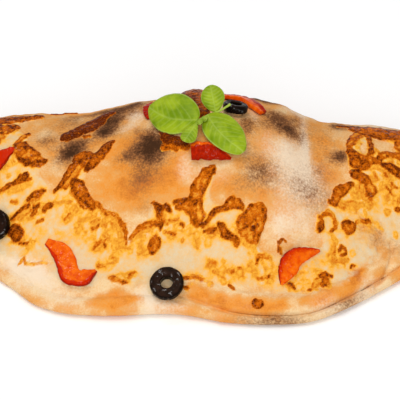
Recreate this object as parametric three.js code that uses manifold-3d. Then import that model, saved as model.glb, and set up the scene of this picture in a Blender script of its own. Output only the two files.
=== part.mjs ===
// A baked calzone: a half-moon of folded pizza dough with melted cheese over its front and its two
// wings, strips of red pepper, rings of black olive and a sprig of basil on the crest.
//
// Millimetres, +Z up. The dough's fold is at the back (+Y), its round pressed seam at the front (-Y),
// and its tips are at -X and +X. It rests on its flat base at Z = 0.
//
// Everything lies on one surface, the top of the dough, whose height over the plan point (x, y) is
// topHeight(x, y). "Lift" is a distance from that surface along its normal.
import * as THREE from "three";
import { mergeVertices } from "three/addons/utils/BufferGeometryUtils.js";
import Module from "manifold-3d";

const wasm = await Module();
wasm.setup();

// ---------------------------------------------------------------- driving dimensions of the dough

const HALF_LENGTH = 148; // from the middle to each tip
const TIP_ROUND = 34; // length over which each tip draws in to its point
const TIP_Y = 32; // both tips end at this depth and height
const TIP_Z = 10;
const CREST_HEIGHT = 58.5; // the top of the middle, where the filling swells the dough
const SKIRT = 0.75; // share of the front that eases out flat towards the seam, the rest is domed
const FOLD_HEIGHT = 0.4; // height of the widest point of the back fold, as a share of the crest's
const BACK_TUCK = 10; // how far the fold rolls in under itself
const FRONT_TUCK = 4; // how far the seam's lip does

// Depth of the seam's outer edge along the length, [x, y].
const FRONT_EDGE = smoothCurve([
  [-148, 30], [-145, 10], [-134, -12], [-118, -29], [-104, -40], [-94, -48.5], [-82, -60], [-70, -65.5],
  [-50, -68], [-8, -68], [8, -72], [28, -73.5], [52, -71], [68, -62.5], [88, -48.5], [104, -35],
  [122, -19], [138, 0], [148, 28],
]);
// Depth of the outside of the back fold.
const BACK_EDGE = smoothCurve([
  [-148, 36], [-140, 47], [-125, 54], [-100, 58], [-50, 59], [0, 61], [40, 58], [60, 54], [100, 50],
  [125, 46], [140, 40], [148, 30],
]);
// Height of the crest line, and the depth at which it runs.
const CREST = smoothCurve([
  [-148, 25], [-125, 34.5], [-100, 40.5], [-75, 43.5], [-58, 45], [-30, 53], [-5, CREST_HEIGHT],
  [18, 57.5], [30, 54], [40, 50.5], [49, 45.5], [59, 41.5], [75, 40], [100, 36.5], [125, 31.5], [148, 23],
]);
const CREST_Y = smoothCurve([
  [-148, 30], [-120, 22], [-60, 16], [-20, 8], [25, 8], [60, 14], [120, 20], [148, 28],
]);
// The pressed seam: height and width of its lip, and height of the dough that rolls over it.
const LIP_HEIGHT = smoothCurve([[-148, 7], [-60, 7], [-30, 9], [-14, 8.5], [8, 6], [90, 6], [148, 7]]);
const LIP_WIDTH = smoothCurve([[-148, 8], [-60, 8], [-30, 7], [-14, 7], [8, 4], [90, 4], [148, 7]]);
const ROLL = smoothCurve([[-148, 1], [-66, 0.6], [-42, 2.6], [-24, 0.4], [0, 3], [60, 3.2], [96, 3], [148, 1]]);
const ROLL_SETBACK = 6; // from the seam to the middle of the roll
const ROLL_WIDTH = 4.2;

// ---------------------------------------------------------------- driving dimensions of the rest

const CHEESE_GAP = 0.6; // clear space under the cheese
const CHEESE_THICKNESS = 1.5;
const CHEESE_TOLERANCE = 0.1; // detail that is left out of its faceted solid
const CHEESE_ROOT = 2; // depth of its blank in the dough, which the dough then cuts away
const POCKET_GAP = 0.35; // clear space where the cheese has melted round a topping
const CHEESE_LENGTH = 128; // the cheese runs from -X to +X by this much
const CHEESE_MARGIN = 9; // bare dough between the seam's outer edge and the cheese
const CHEESE_BACK = smoothCurve([
  [-128, 6], [-118, 32], [-106, 44], [-93, 43], [-85, 14], [-76, -3], [-62, -8], [-50, -20],
  [-38, -27], [-20, -22], [-2, -14], [16, -22], [30, -24], [42, -36], [53, -26], [63, -4], [71, 24],
  [82, 32], [104, 34], [118, 28], [128, 4],
]);

// Each strip of pepper follows plan points across the dough, [x, y, width].
const PEPPERS = {
  pepper_far_left: [[-94, 10.5, 2], [-98, 8.5, 6], [-103, 5.5, 8], [-108, 1.5, 8], [-112, -4, 5]],
  pepper_front_left: [
    [-76.4, -32, 3], [-72.8, -34.8, 6], [-68.8, -38.5, 8], [-66.4, -43.2, 9.5], [-64.6, -49, 9.5],
    [-60, -51.8, 8.3], [-56, -51, 7.5], [-52, -48.2, 2],
  ],
  pepper_middle: [[-6.4, -7.9, 6.5], [-2, -7.7, 7], [4, -8.6, 6.4], [8.5, -10, 4], [12.5, -11.4, 1]],
  pepper_front_right: [
    [54.8, -39.2, 1], [48.8, -41.6, 4.5], [43, -44.4, 7.6], [39.8, -48, 9], [38, -51.2, 7],
    [36.2, -56, 1.2],
  ],
  pepper_crest_right: [[6, 35, 4], [12, 35.5, 4.4], [17, 34, 5], [21, 30.5, 6], [24.2, 26, 6.5], [28, 21.5, 4]],
  pepper_crest_left: [[-27.2, 18.5, 2.6], [-28, 22, 4.2], [-27.6, 27, 5], [-25, 31, 4]],
};
const PEPPER_THICKNESS = 3; // of a broad strip; a narrow one is thinner
const PEPPER_LIFT = 0.7;
const PEPPER_SHOULDER = 0.7; // height of the section's shoulders, as a share of its height
const PEPPER_FLAT = 0.6; // share of the width that is nearly flat on top
const PEPPER_CROWN = 0.2; // how much the middle stands above the rest
const PEPPER_END = 0.4; // how far the ends are rounded out
const PEPPER_STEPS = 12;

// Rings of olive: the plan point below each, its radius, its lift at the middle, and how far its
// axis leans from the dough's normal, [x, y].
const OLIVES = {
  olive_left: { at: [-102.1, -18.4], radius: 7.9, lift: 1.5, lean: [0, 0.1] },
  olive_front: { at: [-18, -56.4], radius: 8.1, lift: 2.3, lean: [0, 0.1] },
  olive_crest: { at: [14.6, 18.4], radius: 6.2, lift: 0.9, lean: [0, 0.25] },
};
const OLIVE_HOLE = 3;
const OLIVE_THICKNESS = 4.2;
const OLIVE_CORNER = 1.2; // rounding of its rim
const OLIVE_BEVEL = 0.5; // of the hole's upper edge
const OLIVE_SIDES = 20;

// The basil sprig: leaves from a base to a tip, which bow up by "arch" and droop at the sides by
// "cup". "face" is the way their upper side looks. The stem runs from them to its cut end.
const BASIL_LEAVES = [
  {
    base: [-3.2, 3, 64.8], tip: [-27.6, 18.9, 60.6], width: 21.5, widest: 0.49,
    arch: 2.2, cup: 2, face: [-0.2, -0.55, 0.8],
  },
  {
    base: [1.2, 6.2, 65.6], tip: [18.4, -12, 56.6], width: 17.4, widest: 0.43,
    arch: 2.4, cup: 2, face: [0.15, -0.5, 0.8],
  },
  {
    base: [5.2, 8, 65.9], tip: [2.6, 17, 75.6], width: 11.6, widest: 0.55,
    arch: 0.8, cup: 1.2, face: [0, -0.8, 0.6],
  },
  {
    base: [-3.2, 2.4, 64.4], tip: [-10, -8.1, 60.2], width: 8, widest: 0.7,
    arch: 0.6, cup: 1, face: [-0.2, -0.5, 0.8],
  },
];
const STEM_PATH = [
  [-3.9, 1.6, 64.1], [-1.6, 4, 64.7], [1.4, 6.2, 65.2], [5.4, 8, 65.6], [9, 9.4, 66.9], [12.4, 10.5, 68.8],
];
const STEM_RADIUS = 0.8;
const LEAF_THICKNESS = 1.1;
const LEAF_STEPS = { along: 9, across: 6 };

// Steps round the dough's section, stretch by stretch, and columns along its length.
const SECTION_STEPS = { base: 2, lip: 4, front: 12, fold: 8, tuck: 3 };
const COLUMNS = 46;
const CHEESE_STEPS = { along: 32, across: 8 };

const COLOURS = {
  crust: 0xd9a868, cheese: 0xe8c373, pepper: 0xc9301a, olive: 0x1d1817, basil: 0x7fa321,
};

// ---------------------------------------------------------------- curves and the dough's surface

// A smooth curve through [x, y] knots, level with its last knot past either end.
function smoothCurve(knots) {
  const run = knots.slice(1).map((k, i) => k[0] - knots[i][0]);
  const slope = knots.slice(1).map((k, i) => (k[1] - knots[i][1]) / run[i]);
  const tangent = knots.map((_, i) => {
    if (i === 0) return slope[0];
    if (i === knots.length - 1) return slope[i - 1];
    return (slope[i - 1] * run[i] + slope[i] * run[i - 1]) / (run[i - 1] + run[i]);
  });
  return (x) => {
    const at = THREE.MathUtils.clamp(x, knots[0][0], knots[knots.length - 1][0]);
    let i = 0;
    while (i < knots.length - 2 && at >= knots[i + 1][0]) i++;
    const t = (at - knots[i][0]) / run[i];
    const t2 = t * t;
    const t3 = t2 * t;
    return (2 * t3 - 3 * t2 + 1) * knots[i][1] + (t3 - 2 * t2 + t) * run[i] * tangent[i]
      + (3 * t2 - 2 * t3) * knots[i + 1][1] + (t3 - t2) * run[i] * tangent[i + 1];
  };
}

// How much a section is drawn in towards the tip: 1 along the middle, 0 at the very tip.
function tipShare(x) {
  const past = Math.max(0, Math.abs(x) - (HALF_LENGTH - TIP_ROUND)) / TIP_ROUND;
  return Math.sqrt(Math.max(0, 1 - past * past));
}

// Slow swells of the dough's top, so that no stretch is a perfect curve.
function unevenness(x, y) {
  return 0.8 * Math.sin(x / 12.5 + 1.3) * Math.sin(y / 10.5 + 0.4)
    + 0.5 * Math.sin(x / 6.8 + 2.2) * Math.sin(y / 6.1 + 1.1);
}

// Sizes of the section at x, before the tips draw it in.
function sectionAt(x) {
  const front = FRONT_EDGE(x);
  return {
    front, back: BACK_EDGE(x), crest: CREST(x), crestY: CREST_Y(x), lip: LIP_HEIGHT(x),
    seam: front + LIP_WIDTH(x), roll: ROLL(x),
  };
}

// Height of the front of the dough, from the seam (t = 0) to the crest (t = 1).
function frontHeight(s, x, t) {
  const rise = SKIRT * (1 - Math.cos(Math.PI * t)) / 2 + (1 - SKIRT) * Math.sin(Math.PI * t / 2);
  const y = s.seam + (s.crestY - s.seam) * t;
  const roll = s.roll * Math.exp(-(((y - s.seam - ROLL_SETBACK) / ROLL_WIDTH) ** 2));
  return s.lip + (s.crest - s.lip) * rise + roll + unevenness(x, y) * Math.min(1, 4 * t);
}

// Height of the back fold's upper half at the share q of the way from the crest to its edge.
function foldHeight(s, x, q) {
  const widest = FOLD_HEIGHT * s.crest;
  const round = Math.sqrt(Math.max(0, 1 - q * q));
  const y = s.crestY + (s.back - s.crestY) * q;
  return widest + (s.crest - widest) * round + unevenness(x, y) * round;
}

// A point of the dough's section at x: "stretch" names the part of the loop and t goes along it.
function sectionPoint(x, stretch, t) {
  const s = sectionAt(x);
  const widest = FOLD_HEIGHT * s.crest;
  const quarter = t * Math.PI / 2;
  const at = {
    base: () => [THREE.MathUtils.lerp(s.back - BACK_TUCK, s.front + FRONT_TUCK, t), 0],
    lip: () => {
      const inner = Math.max(0, 2 * t - 1) ** 2 * (s.seam - s.front - FRONT_TUCK);
      return [s.front + FRONT_TUCK * (1 - Math.sin(Math.PI * t)) + inner,
        s.lip * (1 - Math.cos(Math.PI * t)) / 2];
    },
    front: () => [s.seam + (s.crestY - s.seam) * t, frontHeight(s, x, t)],
    fold: () => [s.crestY + (s.back - s.crestY) * Math.sin(quarter), foldHeight(s, x, Math.sin(quarter))],
    tuck: () => [s.back - BACK_TUCK * (1 - Math.cos(quarter)), widest * (1 - Math.sin(quarter))],
  }[stretch]();
  const share = tipShare(x);
  return new THREE.Vector3(x, TIP_Y + (at[0] - TIP_Y) * share, TIP_Z + (at[1] - TIP_Z) * share);
}

// Height of the dough's top over the plan point (x, y).
function topHeight(x, y) {
  const share = Math.max(tipShare(x), 1e-3);
  const depth = TIP_Y + (y - TIP_Y) / share;
  const s = sectionAt(x);
  const height = depth <= s.crestY
    ? frontHeight(s, x, Math.max(0, (depth - s.seam) / (s.crestY - s.seam)))
    : foldHeight(s, x, Math.min(1, (depth - s.crestY) / (s.back - s.crestY)));
  return TIP_Z + (height - TIP_Z) * share;
}

function topNormal(x, y) {
  const d = 0.5;
  return new THREE.Vector3(
    (topHeight(x - d, y) - topHeight(x + d, y)) / (2 * d),
    (topHeight(x, y - d) - topHeight(x, y + d)) / (2 * d),
    1,
  ).normalize();
}

// The point at a lift over the plan point (x, y).
function overTop(x, y, lift) {
  return new THREE.Vector3(x, y, topHeight(x, y)).addScaledVector(topNormal(x, y), lift);
}

// ---------------------------------------------------------------- closed meshes

function closedMesh(points, faces) {
  const geometry = new THREE.BufferGeometry().setFromPoints(points);
  geometry.setIndex(faces.flat());
  return geometry;
}

// A closed skin over rows of points: each row is a loop, and the first and last close to a point.
function skinOfLoops(first, loops, last) {
  const size = loops[0].length;
  const points = [first, ...loops.flat(), last];
  const at = (row, k) => 1 + row * size + (k % size);
  const faces = [];
  for (let k = 0; k < size; k++) {
    faces.push([0, at(0, k), at(0, k + 1)]);
    faces.push([points.length - 1, at(loops.length - 1, k + 1), at(loops.length - 1, k)]);
    for (let row = 0; row < loops.length - 1; row++) {
      faces.push([at(row, k), at(row + 1, k), at(row + 1, k + 1)]);
      faces.push([at(row, k), at(row + 1, k + 1), at(row, k + 1)]);
    }
  }
  return closedMesh(points, faces);
}

function centreOf(points) {
  return points.reduce((sum, p) => sum.add(p), new THREE.Vector3()).divideScalar(points.length);
}

function toSolid(geometry) {
  const bare = geometry.index ? geometry.toNonIndexed() : geometry.clone();
  bare.deleteAttribute("normal");
  bare.deleteAttribute("uv");
  const merged = mergeVertices(bare, 1e-4);
  return new wasm.Manifold(new wasm.Mesh({
    numProp: 3,
    vertProperties: merged.attributes.position.array,
    triVerts: new Uint32Array(merged.index.array),
  }));
}

function largestBody(solid) {
  return solid.decompose().reduce((most, body) => (body.volume() > most.volume() ? body : most));
}

function toGeometry(solid) {
  const { vertProperties, triVerts } = solid.getMesh();
  return new THREE.BufferGeometry()
    .setAttribute("position", new THREE.BufferAttribute(new Float32Array(vertProperties), 3))
    .setIndex(new THREE.BufferAttribute(new Uint32Array(triVerts), 1));
}

// ---------------------------------------------------------------- the pieces

// The folded dough with its filling: one solid, because nothing of the inside can be seen.
function crustGeometry() {
  const loops = [];
  for (let i = 1; i < COLUMNS; i++) {
    const s = 2 * i / COLUMNS - 1;
    const x = HALF_LENGTH * (0.65 * s + 0.35 * Math.sin(s * Math.PI / 2));
    loops.push(Object.entries(SECTION_STEPS).flatMap(([stretch, steps]) =>
      Array.from({ length: steps }, (_, k) => sectionPoint(x, stretch, k / steps))));
  }
  const tip = (side) => new THREE.Vector3(side * HALF_LENGTH, TIP_Y, TIP_Z);
  return skinOfLoops(tip(-1), loops, tip(1));
}

// The melted cheese before it is fitted to the dough: a thick sheet that reaches down into it.
function cheeseSheetGeometry() {
  const { along: columns, across: rows } = CHEESE_STEPS;
  const point = (i, k, lift) => {
    const x = THREE.MathUtils.lerp(-CHEESE_LENGTH, CHEESE_LENGTH, i / columns);
    const share = tipShare(x);
    const front = TIP_Y + (FRONT_EDGE(x) + CHEESE_MARGIN - TIP_Y) * share;
    return overTop(x, THREE.MathUtils.lerp(front, CHEESE_BACK(x), k / rows), lift);
  };
  const loops = Array.from({ length: columns + 1 }, (_, i) => {
    const under = Array.from({ length: rows + 1 }, (_, k) => point(i, rows - k, -CHEESE_ROOT));
    const over = Array.from({ length: rows + 1 }, (_, k) => point(i, k, CHEESE_GAP + CHEESE_THICKNESS));
    return [...under, ...over];
  });
  return skinOfLoops(centreOf(loops[0]), loops, centreOf(loops[columns]));
}

// A strip of pepper, bent to the dough. "grow" makes it that much larger all round, as a cutter.
function pepperGeometry(path, grow = 0) {
  const line = new THREE.CatmullRomCurve3(path.map(([x, y, width]) => new THREE.Vector3(x, y, width)));
  const low = PEPPER_LIFT - grow;
  const loops = Array.from({ length: PEPPER_STEPS + 1 }, (_, i) => {
    const { x, y, z: width } = line.getPoint(i / PEPPER_STEPS);
    const along = line.getTangent(i / PEPPER_STEPS).setZ(0).normalize();
    const half = width / 2 + grow;
    const flat = PEPPER_FLAT * half;
    const high = PEPPER_LIFT + PEPPER_THICKNESS * Math.min(1, 0.4 + width / 10) + grow;
    const shoulder = THREE.MathUtils.lerp(low, high, PEPPER_SHOULDER);
    // Across the strip, seen along it: [sideways, lift], rounded on its upper side.
    const outline = [
      [-half, low], [-half, shoulder], [-flat, high], [0, high + PEPPER_CROWN], [flat, high],
      [half, shoulder], [half, low], [0, low],
    ];
    return outline.map(([side, lift]) => overTop(x - along.y * side, y + along.x * side, lift));
  });
  const end = (loop, before) => {
    const centre = centreOf(loop);
    return centre.clone().sub(centreOf(before)).setLength(PEPPER_END + grow).add(centre);
  };
  return skinOfLoops(end(loops[0], loops[1]), loops, end(loops[PEPPER_STEPS], loops[PEPPER_STEPS - 1]));
}

// A ring cut from an olive, lying on the dough. "grow" makes it larger all round, as a cutter.
function oliveGeometry({ at, radius, lift, lean }, grow = 0) {
  const inner = OLIVE_HOLE - grow;
  const outer = radius + grow;
  const top = OLIVE_THICKNESS + grow;
  const corner = OLIVE_CORNER;
  const round = (x, y, from) => [0, 1, 2, 3].map((k) => {
    const angle = from + k * Math.PI / 6;
    return new THREE.Vector2(x + corner * Math.cos(angle), y + corner * Math.sin(angle));
  });
  const profile = [
    new THREE.Vector2(inner, -grow),
    ...round(outer - corner, corner - grow, -Math.PI / 2),
    ...round(outer - corner, top - corner, 0),
    new THREE.Vector2(inner + OLIVE_BEVEL, top),
    new THREE.Vector2(inner, top - OLIVE_BEVEL),
    new THREE.Vector2(inner, -grow),
  ];
  const ring = new THREE.LatheGeometry(profile, OLIVE_SIDES);
  ring.rotateX(Math.PI / 2);
  const [x, y] = at;
  const axis = topNormal(x, y).add(new THREE.Vector3(...lean, 0)).normalize();
  ring.applyQuaternion(new THREE.Quaternion().setFromUnitVectors(new THREE.Vector3(0, 0, 1), axis));
  const seat = overTop(x, y, lift);
  return ring.translate(seat.x, seat.y, seat.z);
}

// A basil leaf: broad near its base, bowed along its midrib, thinning to nothing at its edge.
function leafGeometry({ base, tip, width, widest, arch, cup, face }) {
  const from = new THREE.Vector3(...base);
  const along = new THREE.Vector3(...tip).sub(from);
  const side = along.clone().normalize().cross(new THREE.Vector3(...face)).normalize();
  const up = side.clone().cross(along).normalize();
  const fullness = Math.log(0.5) / Math.log(widest);
  const point = (t, r, edge) => {
    const half = width / 2 * Math.sqrt(Math.sin(Math.PI * t ** fullness));
    const thick = edge * LEAF_THICKNESS / 2 * Math.sqrt(Math.max(0, 1 - r * r));
    return from.clone()
      .addScaledVector(along, t)
      .addScaledVector(side, half * r)
      .addScaledVector(up, 4 * arch * t * (1 - t) - cup * r * r * (2 * half / width) + thick);
  };
  const loops = [];
  for (let i = 1; i < LEAF_STEPS.along; i++) {
    const t = i / LEAF_STEPS.along;
    const row = (edge, from) => Array.from({ length: LEAF_STEPS.across }, (_, k) =>
      point(t, from * (1 - 2 * k / LEAF_STEPS.across), edge));
    loops.push([...row(1, 1), ...row(-1, -1)]);
  }
  return skinOfLoops(point(0, 0, 0), loops, point(1, 0, 0));
}

function stemGeometry() {
  const round = new THREE.Shape().absarc(0, 0, STEM_RADIUS, 0, 2 * Math.PI);
  return new THREE.ExtrudeGeometry(round, {
    extrudePath: new THREE.CatmullRomCurve3(STEM_PATH.map((p) => new THREE.Vector3(...p))),
    steps: 8,
    curveSegments: 3,
  });
}

// The sprig is one piece: its leaves grow from its stem.
function basilGeometry() {
  const leaves = BASIL_LEAVES.map((leaf) => toSolid(leafGeometry(leaf)));
  return toGeometry(leaves.reduce((sprig, leaf) => sprig.add(leaf), toSolid(stemGeometry())));
}

// The melted cheese: a layer that follows the dough and has closed round the toppings on it.
function cheeseGeometry() {
  const dough = toSolid(crustGeometry()).translate([0, 0, CHEESE_GAP]);
  const layer = toSolid(cheeseSheetGeometry()).subtract(dough).simplify(CHEESE_TOLERANCE);
  const pockets = [
    ...Object.values(PEPPERS).map((pepper) => pepperGeometry(pepper, POCKET_GAP)),
    ...Object.values(OLIVES).map((olive) => oliveGeometry(olive, POCKET_GAP)),
  ].map(toSolid);
  return toGeometry(largestBody(pockets.reduce((rest, pocket) => rest.subtract(pocket), layer)));
}

// ---------------------------------------------------------------- the calzone

const calzone = new THREE.Group();

function place(name, geometry, colour, roughness) {
  const mesh = new THREE.Mesh(
    geometry,
    new THREE.MeshStandardMaterial({ color: COLOURS[colour], roughness, metalness: 0 }),
  );
  mesh.name = name;
  calzone.add(mesh);
}

place("crust", crustGeometry(), "crust", 0.85);
place("cheese", cheeseGeometry(), "cheese", 0.4);

for (const [name, pepper] of Object.entries(PEPPERS)) place(name, pepperGeometry(pepper), "pepper", 0.3);
for (const [name, olive] of Object.entries(OLIVES)) place(name, oliveGeometry(olive), "olive", 0.3);
place("basil_sprig", basilGeometry(), "basil", 0.45);

// The finished part is measured from the middle of its box.
const box = new THREE.Box3().setFromObject(calzone);
calzone.position.y = -(box.min.y + box.max.y) / 2;

export default calzone;
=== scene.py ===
"""A baked calzone: folded dough, melted browned cheese, strips of pepper, rings of olive and a basil sprig.

Sizes are in millimetres on the plan: x along the calzone, y from the pressed seam at the front to the
fold at the back, z up from the surface that it rests on. "Lift" is a distance off the dough's top.
"""

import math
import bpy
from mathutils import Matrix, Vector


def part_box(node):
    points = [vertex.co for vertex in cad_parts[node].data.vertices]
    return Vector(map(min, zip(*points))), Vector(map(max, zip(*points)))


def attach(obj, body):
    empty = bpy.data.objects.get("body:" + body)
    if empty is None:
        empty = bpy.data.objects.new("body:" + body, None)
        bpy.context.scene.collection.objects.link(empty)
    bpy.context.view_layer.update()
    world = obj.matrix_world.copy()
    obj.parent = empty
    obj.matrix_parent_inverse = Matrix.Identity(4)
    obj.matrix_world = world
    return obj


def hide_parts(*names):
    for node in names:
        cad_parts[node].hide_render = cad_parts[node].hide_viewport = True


bl_info = {
    "name": "Calzone",
    "version": (1, 0, 0),
    "blender": (4, 5, 0),
    "location": "View3D > Sidebar > Calzone",
    "description": "Builds a baked calzone with cheese, pepper, olives and basil in its packed frame",
    "category": "Add Mesh",
}

from types import SimpleNamespace

import bpy
import numpy as np
from mathutils import Vector

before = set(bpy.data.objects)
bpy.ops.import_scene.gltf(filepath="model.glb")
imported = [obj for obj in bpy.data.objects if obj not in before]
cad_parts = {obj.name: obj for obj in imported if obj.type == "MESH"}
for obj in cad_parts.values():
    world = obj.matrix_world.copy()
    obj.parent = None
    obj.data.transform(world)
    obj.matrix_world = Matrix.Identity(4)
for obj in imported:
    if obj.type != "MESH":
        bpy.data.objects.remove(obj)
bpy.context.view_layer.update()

MM = 0.001  # metres in a millimetre
TINY = 1e-12  # keeps a division from dividing by nothing
SWELL_CELLS = 256  # random heights along each side of a table of swells
SWELL_START = 100  # where on its table the swells' origin lies


# ---------------------------------------------------------------- curves, swells and strokes


def smooth_curve(knots):
    """A smooth curve through (x, y) knots, level with its last knot past either end."""
    xs, ys = np.array(knots, float).T
    run = np.diff(xs)
    slope = np.diff(ys) / run
    inner = (slope[:-1] * run[1:] + slope[1:] * run[:-1]) / (run[:-1] + run[1:])
    tangent = np.concatenate([slope[:1], inner, slope[-1:]])

    def height(x):
        x = np.clip(x, xs[0], xs[-1])
        i = np.clip(np.searchsorted(xs, x, side="right") - 1, 0, len(run) - 1)
        t = (x - xs[i]) / run[i]
        t2, t3 = t * t, t * t * t
        return (
            (2 * t3 - 3 * t2 + 1) * ys[i]
            + (t3 - 2 * t2 + t) * run[i] * tangent[i]
            + (3 * t2 - 2 * t3) * ys[i + 1]
            + (t3 - t2) * run[i] * tangent[i + 1]
        )

    return height


def ease(value, low=0.0, high=1.0):
    """0 below low, 1 above high and a smooth step between them."""
    t = np.clip((value - low) / (high - low), 0, 1)
    return t * t * (3 - 2 * t)


def swells(x, y, size, seed):
    """Smooth random swells between -1 and 1, each about that size across."""
    table = np.random.default_rng(seed).uniform(-1, 1, (SWELL_CELLS, SWELL_CELLS))
    u, v = np.asarray(x) / size + SWELL_START, np.asarray(y) / size + SWELL_START
    i, j = np.floor(u).astype(int), np.floor(v).astype(int)
    fu, fv = ease(u - i), ease(v - j)

    def corner(di, dj):
        return table[(i + di) % SWELL_CELLS, (j + dj) % SWELL_CELLS]

    near = corner(0, 0) * (1 - fu) + corner(1, 0) * fu
    far = corner(0, 1) * (1 - fu) + corner(1, 1) * fu
    return near * (1 - fv) + far * fv


def layered_swells(x, y, layers, start=0):
    """Swells of several sizes added to start. Each layer is its strength, size and seed."""
    return sum((strength * swells(x, y, size, seed) for strength, size, seed in layers), start)


def stroke_distance(x, y, path):
    """Distance from each point to a stroke's middle line, and the stroke's half width there."""
    best = np.full(x.shape, np.inf)
    half = np.zeros(x.shape)
    path = [(*p, 0)[:3] for p in path]  # a point without a width has none
    for (ax, ay, aw), (bx, by, bw) in zip(path, path[1:] or path):
        dx, dy = bx - ax, by - ay
        t = np.clip(((x - ax) * dx + (y - ay) * dy) / max(dx * dx + dy * dy, TINY), 0, 1)
        distance = np.hypot(x - ax - t * dx, y - ay - t * dy)
        nearer = distance < best
        best = np.where(nearer, distance, best)
        half = np.where(nearer, (aw + (bw - aw) * t) / 2, half)
    return best, half


def inside_distance(x, y, outline):
    """Distance from each point to a closed outline, positive inside it."""
    best, _ = stroke_distance(x, y, [*outline, outline[0]])
    inside = np.zeros(x.shape, bool)
    for (ax, ay), (bx, by) in zip(outline, [*outline[1:], outline[0]]):
        crosses = (ay > y) != (by > y)
        at = ax + (y - ay) * (bx - ax) / ((by - ay) or TINY)
        inside ^= crosses & (x < at)
    return np.where(inside, best, -best)


def patches(x, y, spots):
    """Soft oval patches (x, y, half length, half width, turn in degrees, strength), added up."""
    total = np.zeros(np.shape(x))
    for cx, cy, rx, ry, turn, strength in spots:
        c, s = math.cos(math.radians(turn)), math.sin(math.radians(turn))
        u = ((x - cx) * c + (y - cy) * s) / rx
        v = ((y - cy) * c - (x - cx) * s) / ry
        total = total + strength * np.exp(-(u * u + v * v))
    return total


# ---------------------------------------------------------------- the dough's shape

HALF_LENGTH = 148.0  # from the middle to each tip
TIP_ROUND = 34.0  # length over which each tip draws in
TIP_Y, TIP_Z = 32.0, 10.0  # where both tips end
SKIRT = 0.75  # share of the front that eases out flat towards the seam
FOLD_HEIGHT = 0.4  # the fold's widest point, as a share of the crest's height
BACK_TUCK, FRONT_TUCK = 10.0, 4.0  # how far the fold and the lip roll in under themselves
ROLL_SETBACK, ROLL_WIDTH = 6.0, 4.2  # the roll of dough behind the pressed seam

FRONT_EDGE = smooth_curve([
    (-148, 30), (-145, 10), (-134, -12), (-118, -29), (-104, -40), (-94, -48.5), (-82, -60),
    (-70, -65.5), (-50, -68), (-8, -68), (8, -72), (28, -73.5), (52, -71), (68, -62.5), (88, -48.5),
    (104, -35), (122, -19), (138, 0), (148, 28),
])
BACK_EDGE = smooth_curve([
    (-148, 36), (-140, 47), (-125, 54), (-100, 58), (-50, 59), (0, 61), (40, 58), (60, 54), (100, 50),
    (125, 46), (140, 40), (148, 30),
])
CREST = smooth_curve([
    (-148, 25), (-125, 34.5), (-100, 40.5), (-75, 43.5), (-58, 45), (-30, 53), (-5, 58.5), (18, 57.5),
    (30, 54), (40, 50.5), (49, 45.5), (59, 41.5), (75, 40), (100, 36.5), (125, 31.5), (148, 23),
])
CREST_Y = smooth_curve([
    (-148, 30), (-120, 22), (-60, 16), (-20, 8), (25, 8), (60, 14), (120, 20), (148, 28),
])
LIP_HEIGHT = smooth_curve([(-148, 7), (-60, 7), (-30, 9), (-14, 8.5), (8, 6), (90, 6), (148, 7)])
LIP_WIDTH = smooth_curve([(-148, 8), (-60, 8), (-30, 7), (-14, 7), (8, 4), (90, 4), (148, 7)])
ROLL = smooth_curve([
    (-148, 1), (-66, 0.6), (-42, 2.6), (-24, 0.4), (0, 3), (60, 3.2), (96, 3), (148, 1),
])
SEAM_DEPTH = smooth_curve([(-70, 0.2), (-45, 0.5), (-14, 0.7), (2, 1.3), (80, 1.4), (100, 0.9), (148, 0.4)])
SEAM_WIDTH = 0.8

STRETCHES = {"base": 6, "lip": 20, "front": 110, "fold": 50, "tuck": 12}  # steps round the section
FRONT_PACKING = 1.3  # above 1, the front's steps are closer together near the seam
TIP_PACKING = 0.35  # above 0, the columns are closer together towards the tips
# Slow waves of the dough's top: height, then how long and how far along each is in x and in y.
WAVES = ((0.8, 12.5, 1.3, 10.5, 0.4), (0.5, 6.8, 2.2, 6.1, 1.1))
SLOPE_STEP = 0.5  # how far either way the slope of the top is measured


def tip_share(x):
    """How much a section is drawn in towards a tip: 1 along the middle, 0 at the very tip."""
    past = np.maximum(0, np.abs(x) - (HALF_LENGTH - TIP_ROUND)) / TIP_ROUND
    return np.sqrt(np.maximum(0, 1 - past * past))


def safe_tip_share(x):
    """The same, kept above 0 so that it can be divided by."""
    return np.maximum(tip_share(x), 1e-3)


def undrawn(x, y):
    """The depth that a plan point had before the tips were drawn in."""
    return TIP_Y + (y - TIP_Y) / safe_tip_share(x)


def unevenness(x, y):
    """Slow swells of the dough's top."""
    return sum(
        height * np.sin(x / long + start) * np.sin(y / deep + behind)
        for height, long, start, deep, behind in WAVES
    )


def section_at(x):
    """Sizes of the dough's section at x, before the tips draw it in."""
    front = FRONT_EDGE(x)
    return SimpleNamespace(
        front=front, back=BACK_EDGE(x), crest=CREST(x), crest_y=CREST_Y(x), lip=LIP_HEIGHT(x),
        seam=front + LIP_WIDTH(x), roll=ROLL(x),
    )


def front_height(s, x, t):
    """Height of the front of the dough, from the seam (t = 0) to the crest (t = 1)."""
    rise = SKIRT * (1 - np.cos(np.pi * t)) / 2 + (1 - SKIRT) * np.sin(np.pi * t / 2)
    y = s.seam + (s.crest_y - s.seam) * t
    roll = s.roll * np.exp(-(((y - s.seam - ROLL_SETBACK) / ROLL_WIDTH) ** 2))
    return s.lip + (s.crest - s.lip) * rise + roll + unevenness(x, y) * np.minimum(1, 4 * t)


def fold_height(s, x, q):
    """Height of the back fold's upper half, the share q of the way from the crest to its edge."""
    widest = FOLD_HEIGHT * s.crest
    arch = np.sqrt(np.maximum(0, 1 - q * q))
    y = s.crest_y + (s.back - s.crest_y) * q
    return widest + (s.crest - widest) * arch + unevenness(x, y) * arch


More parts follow.
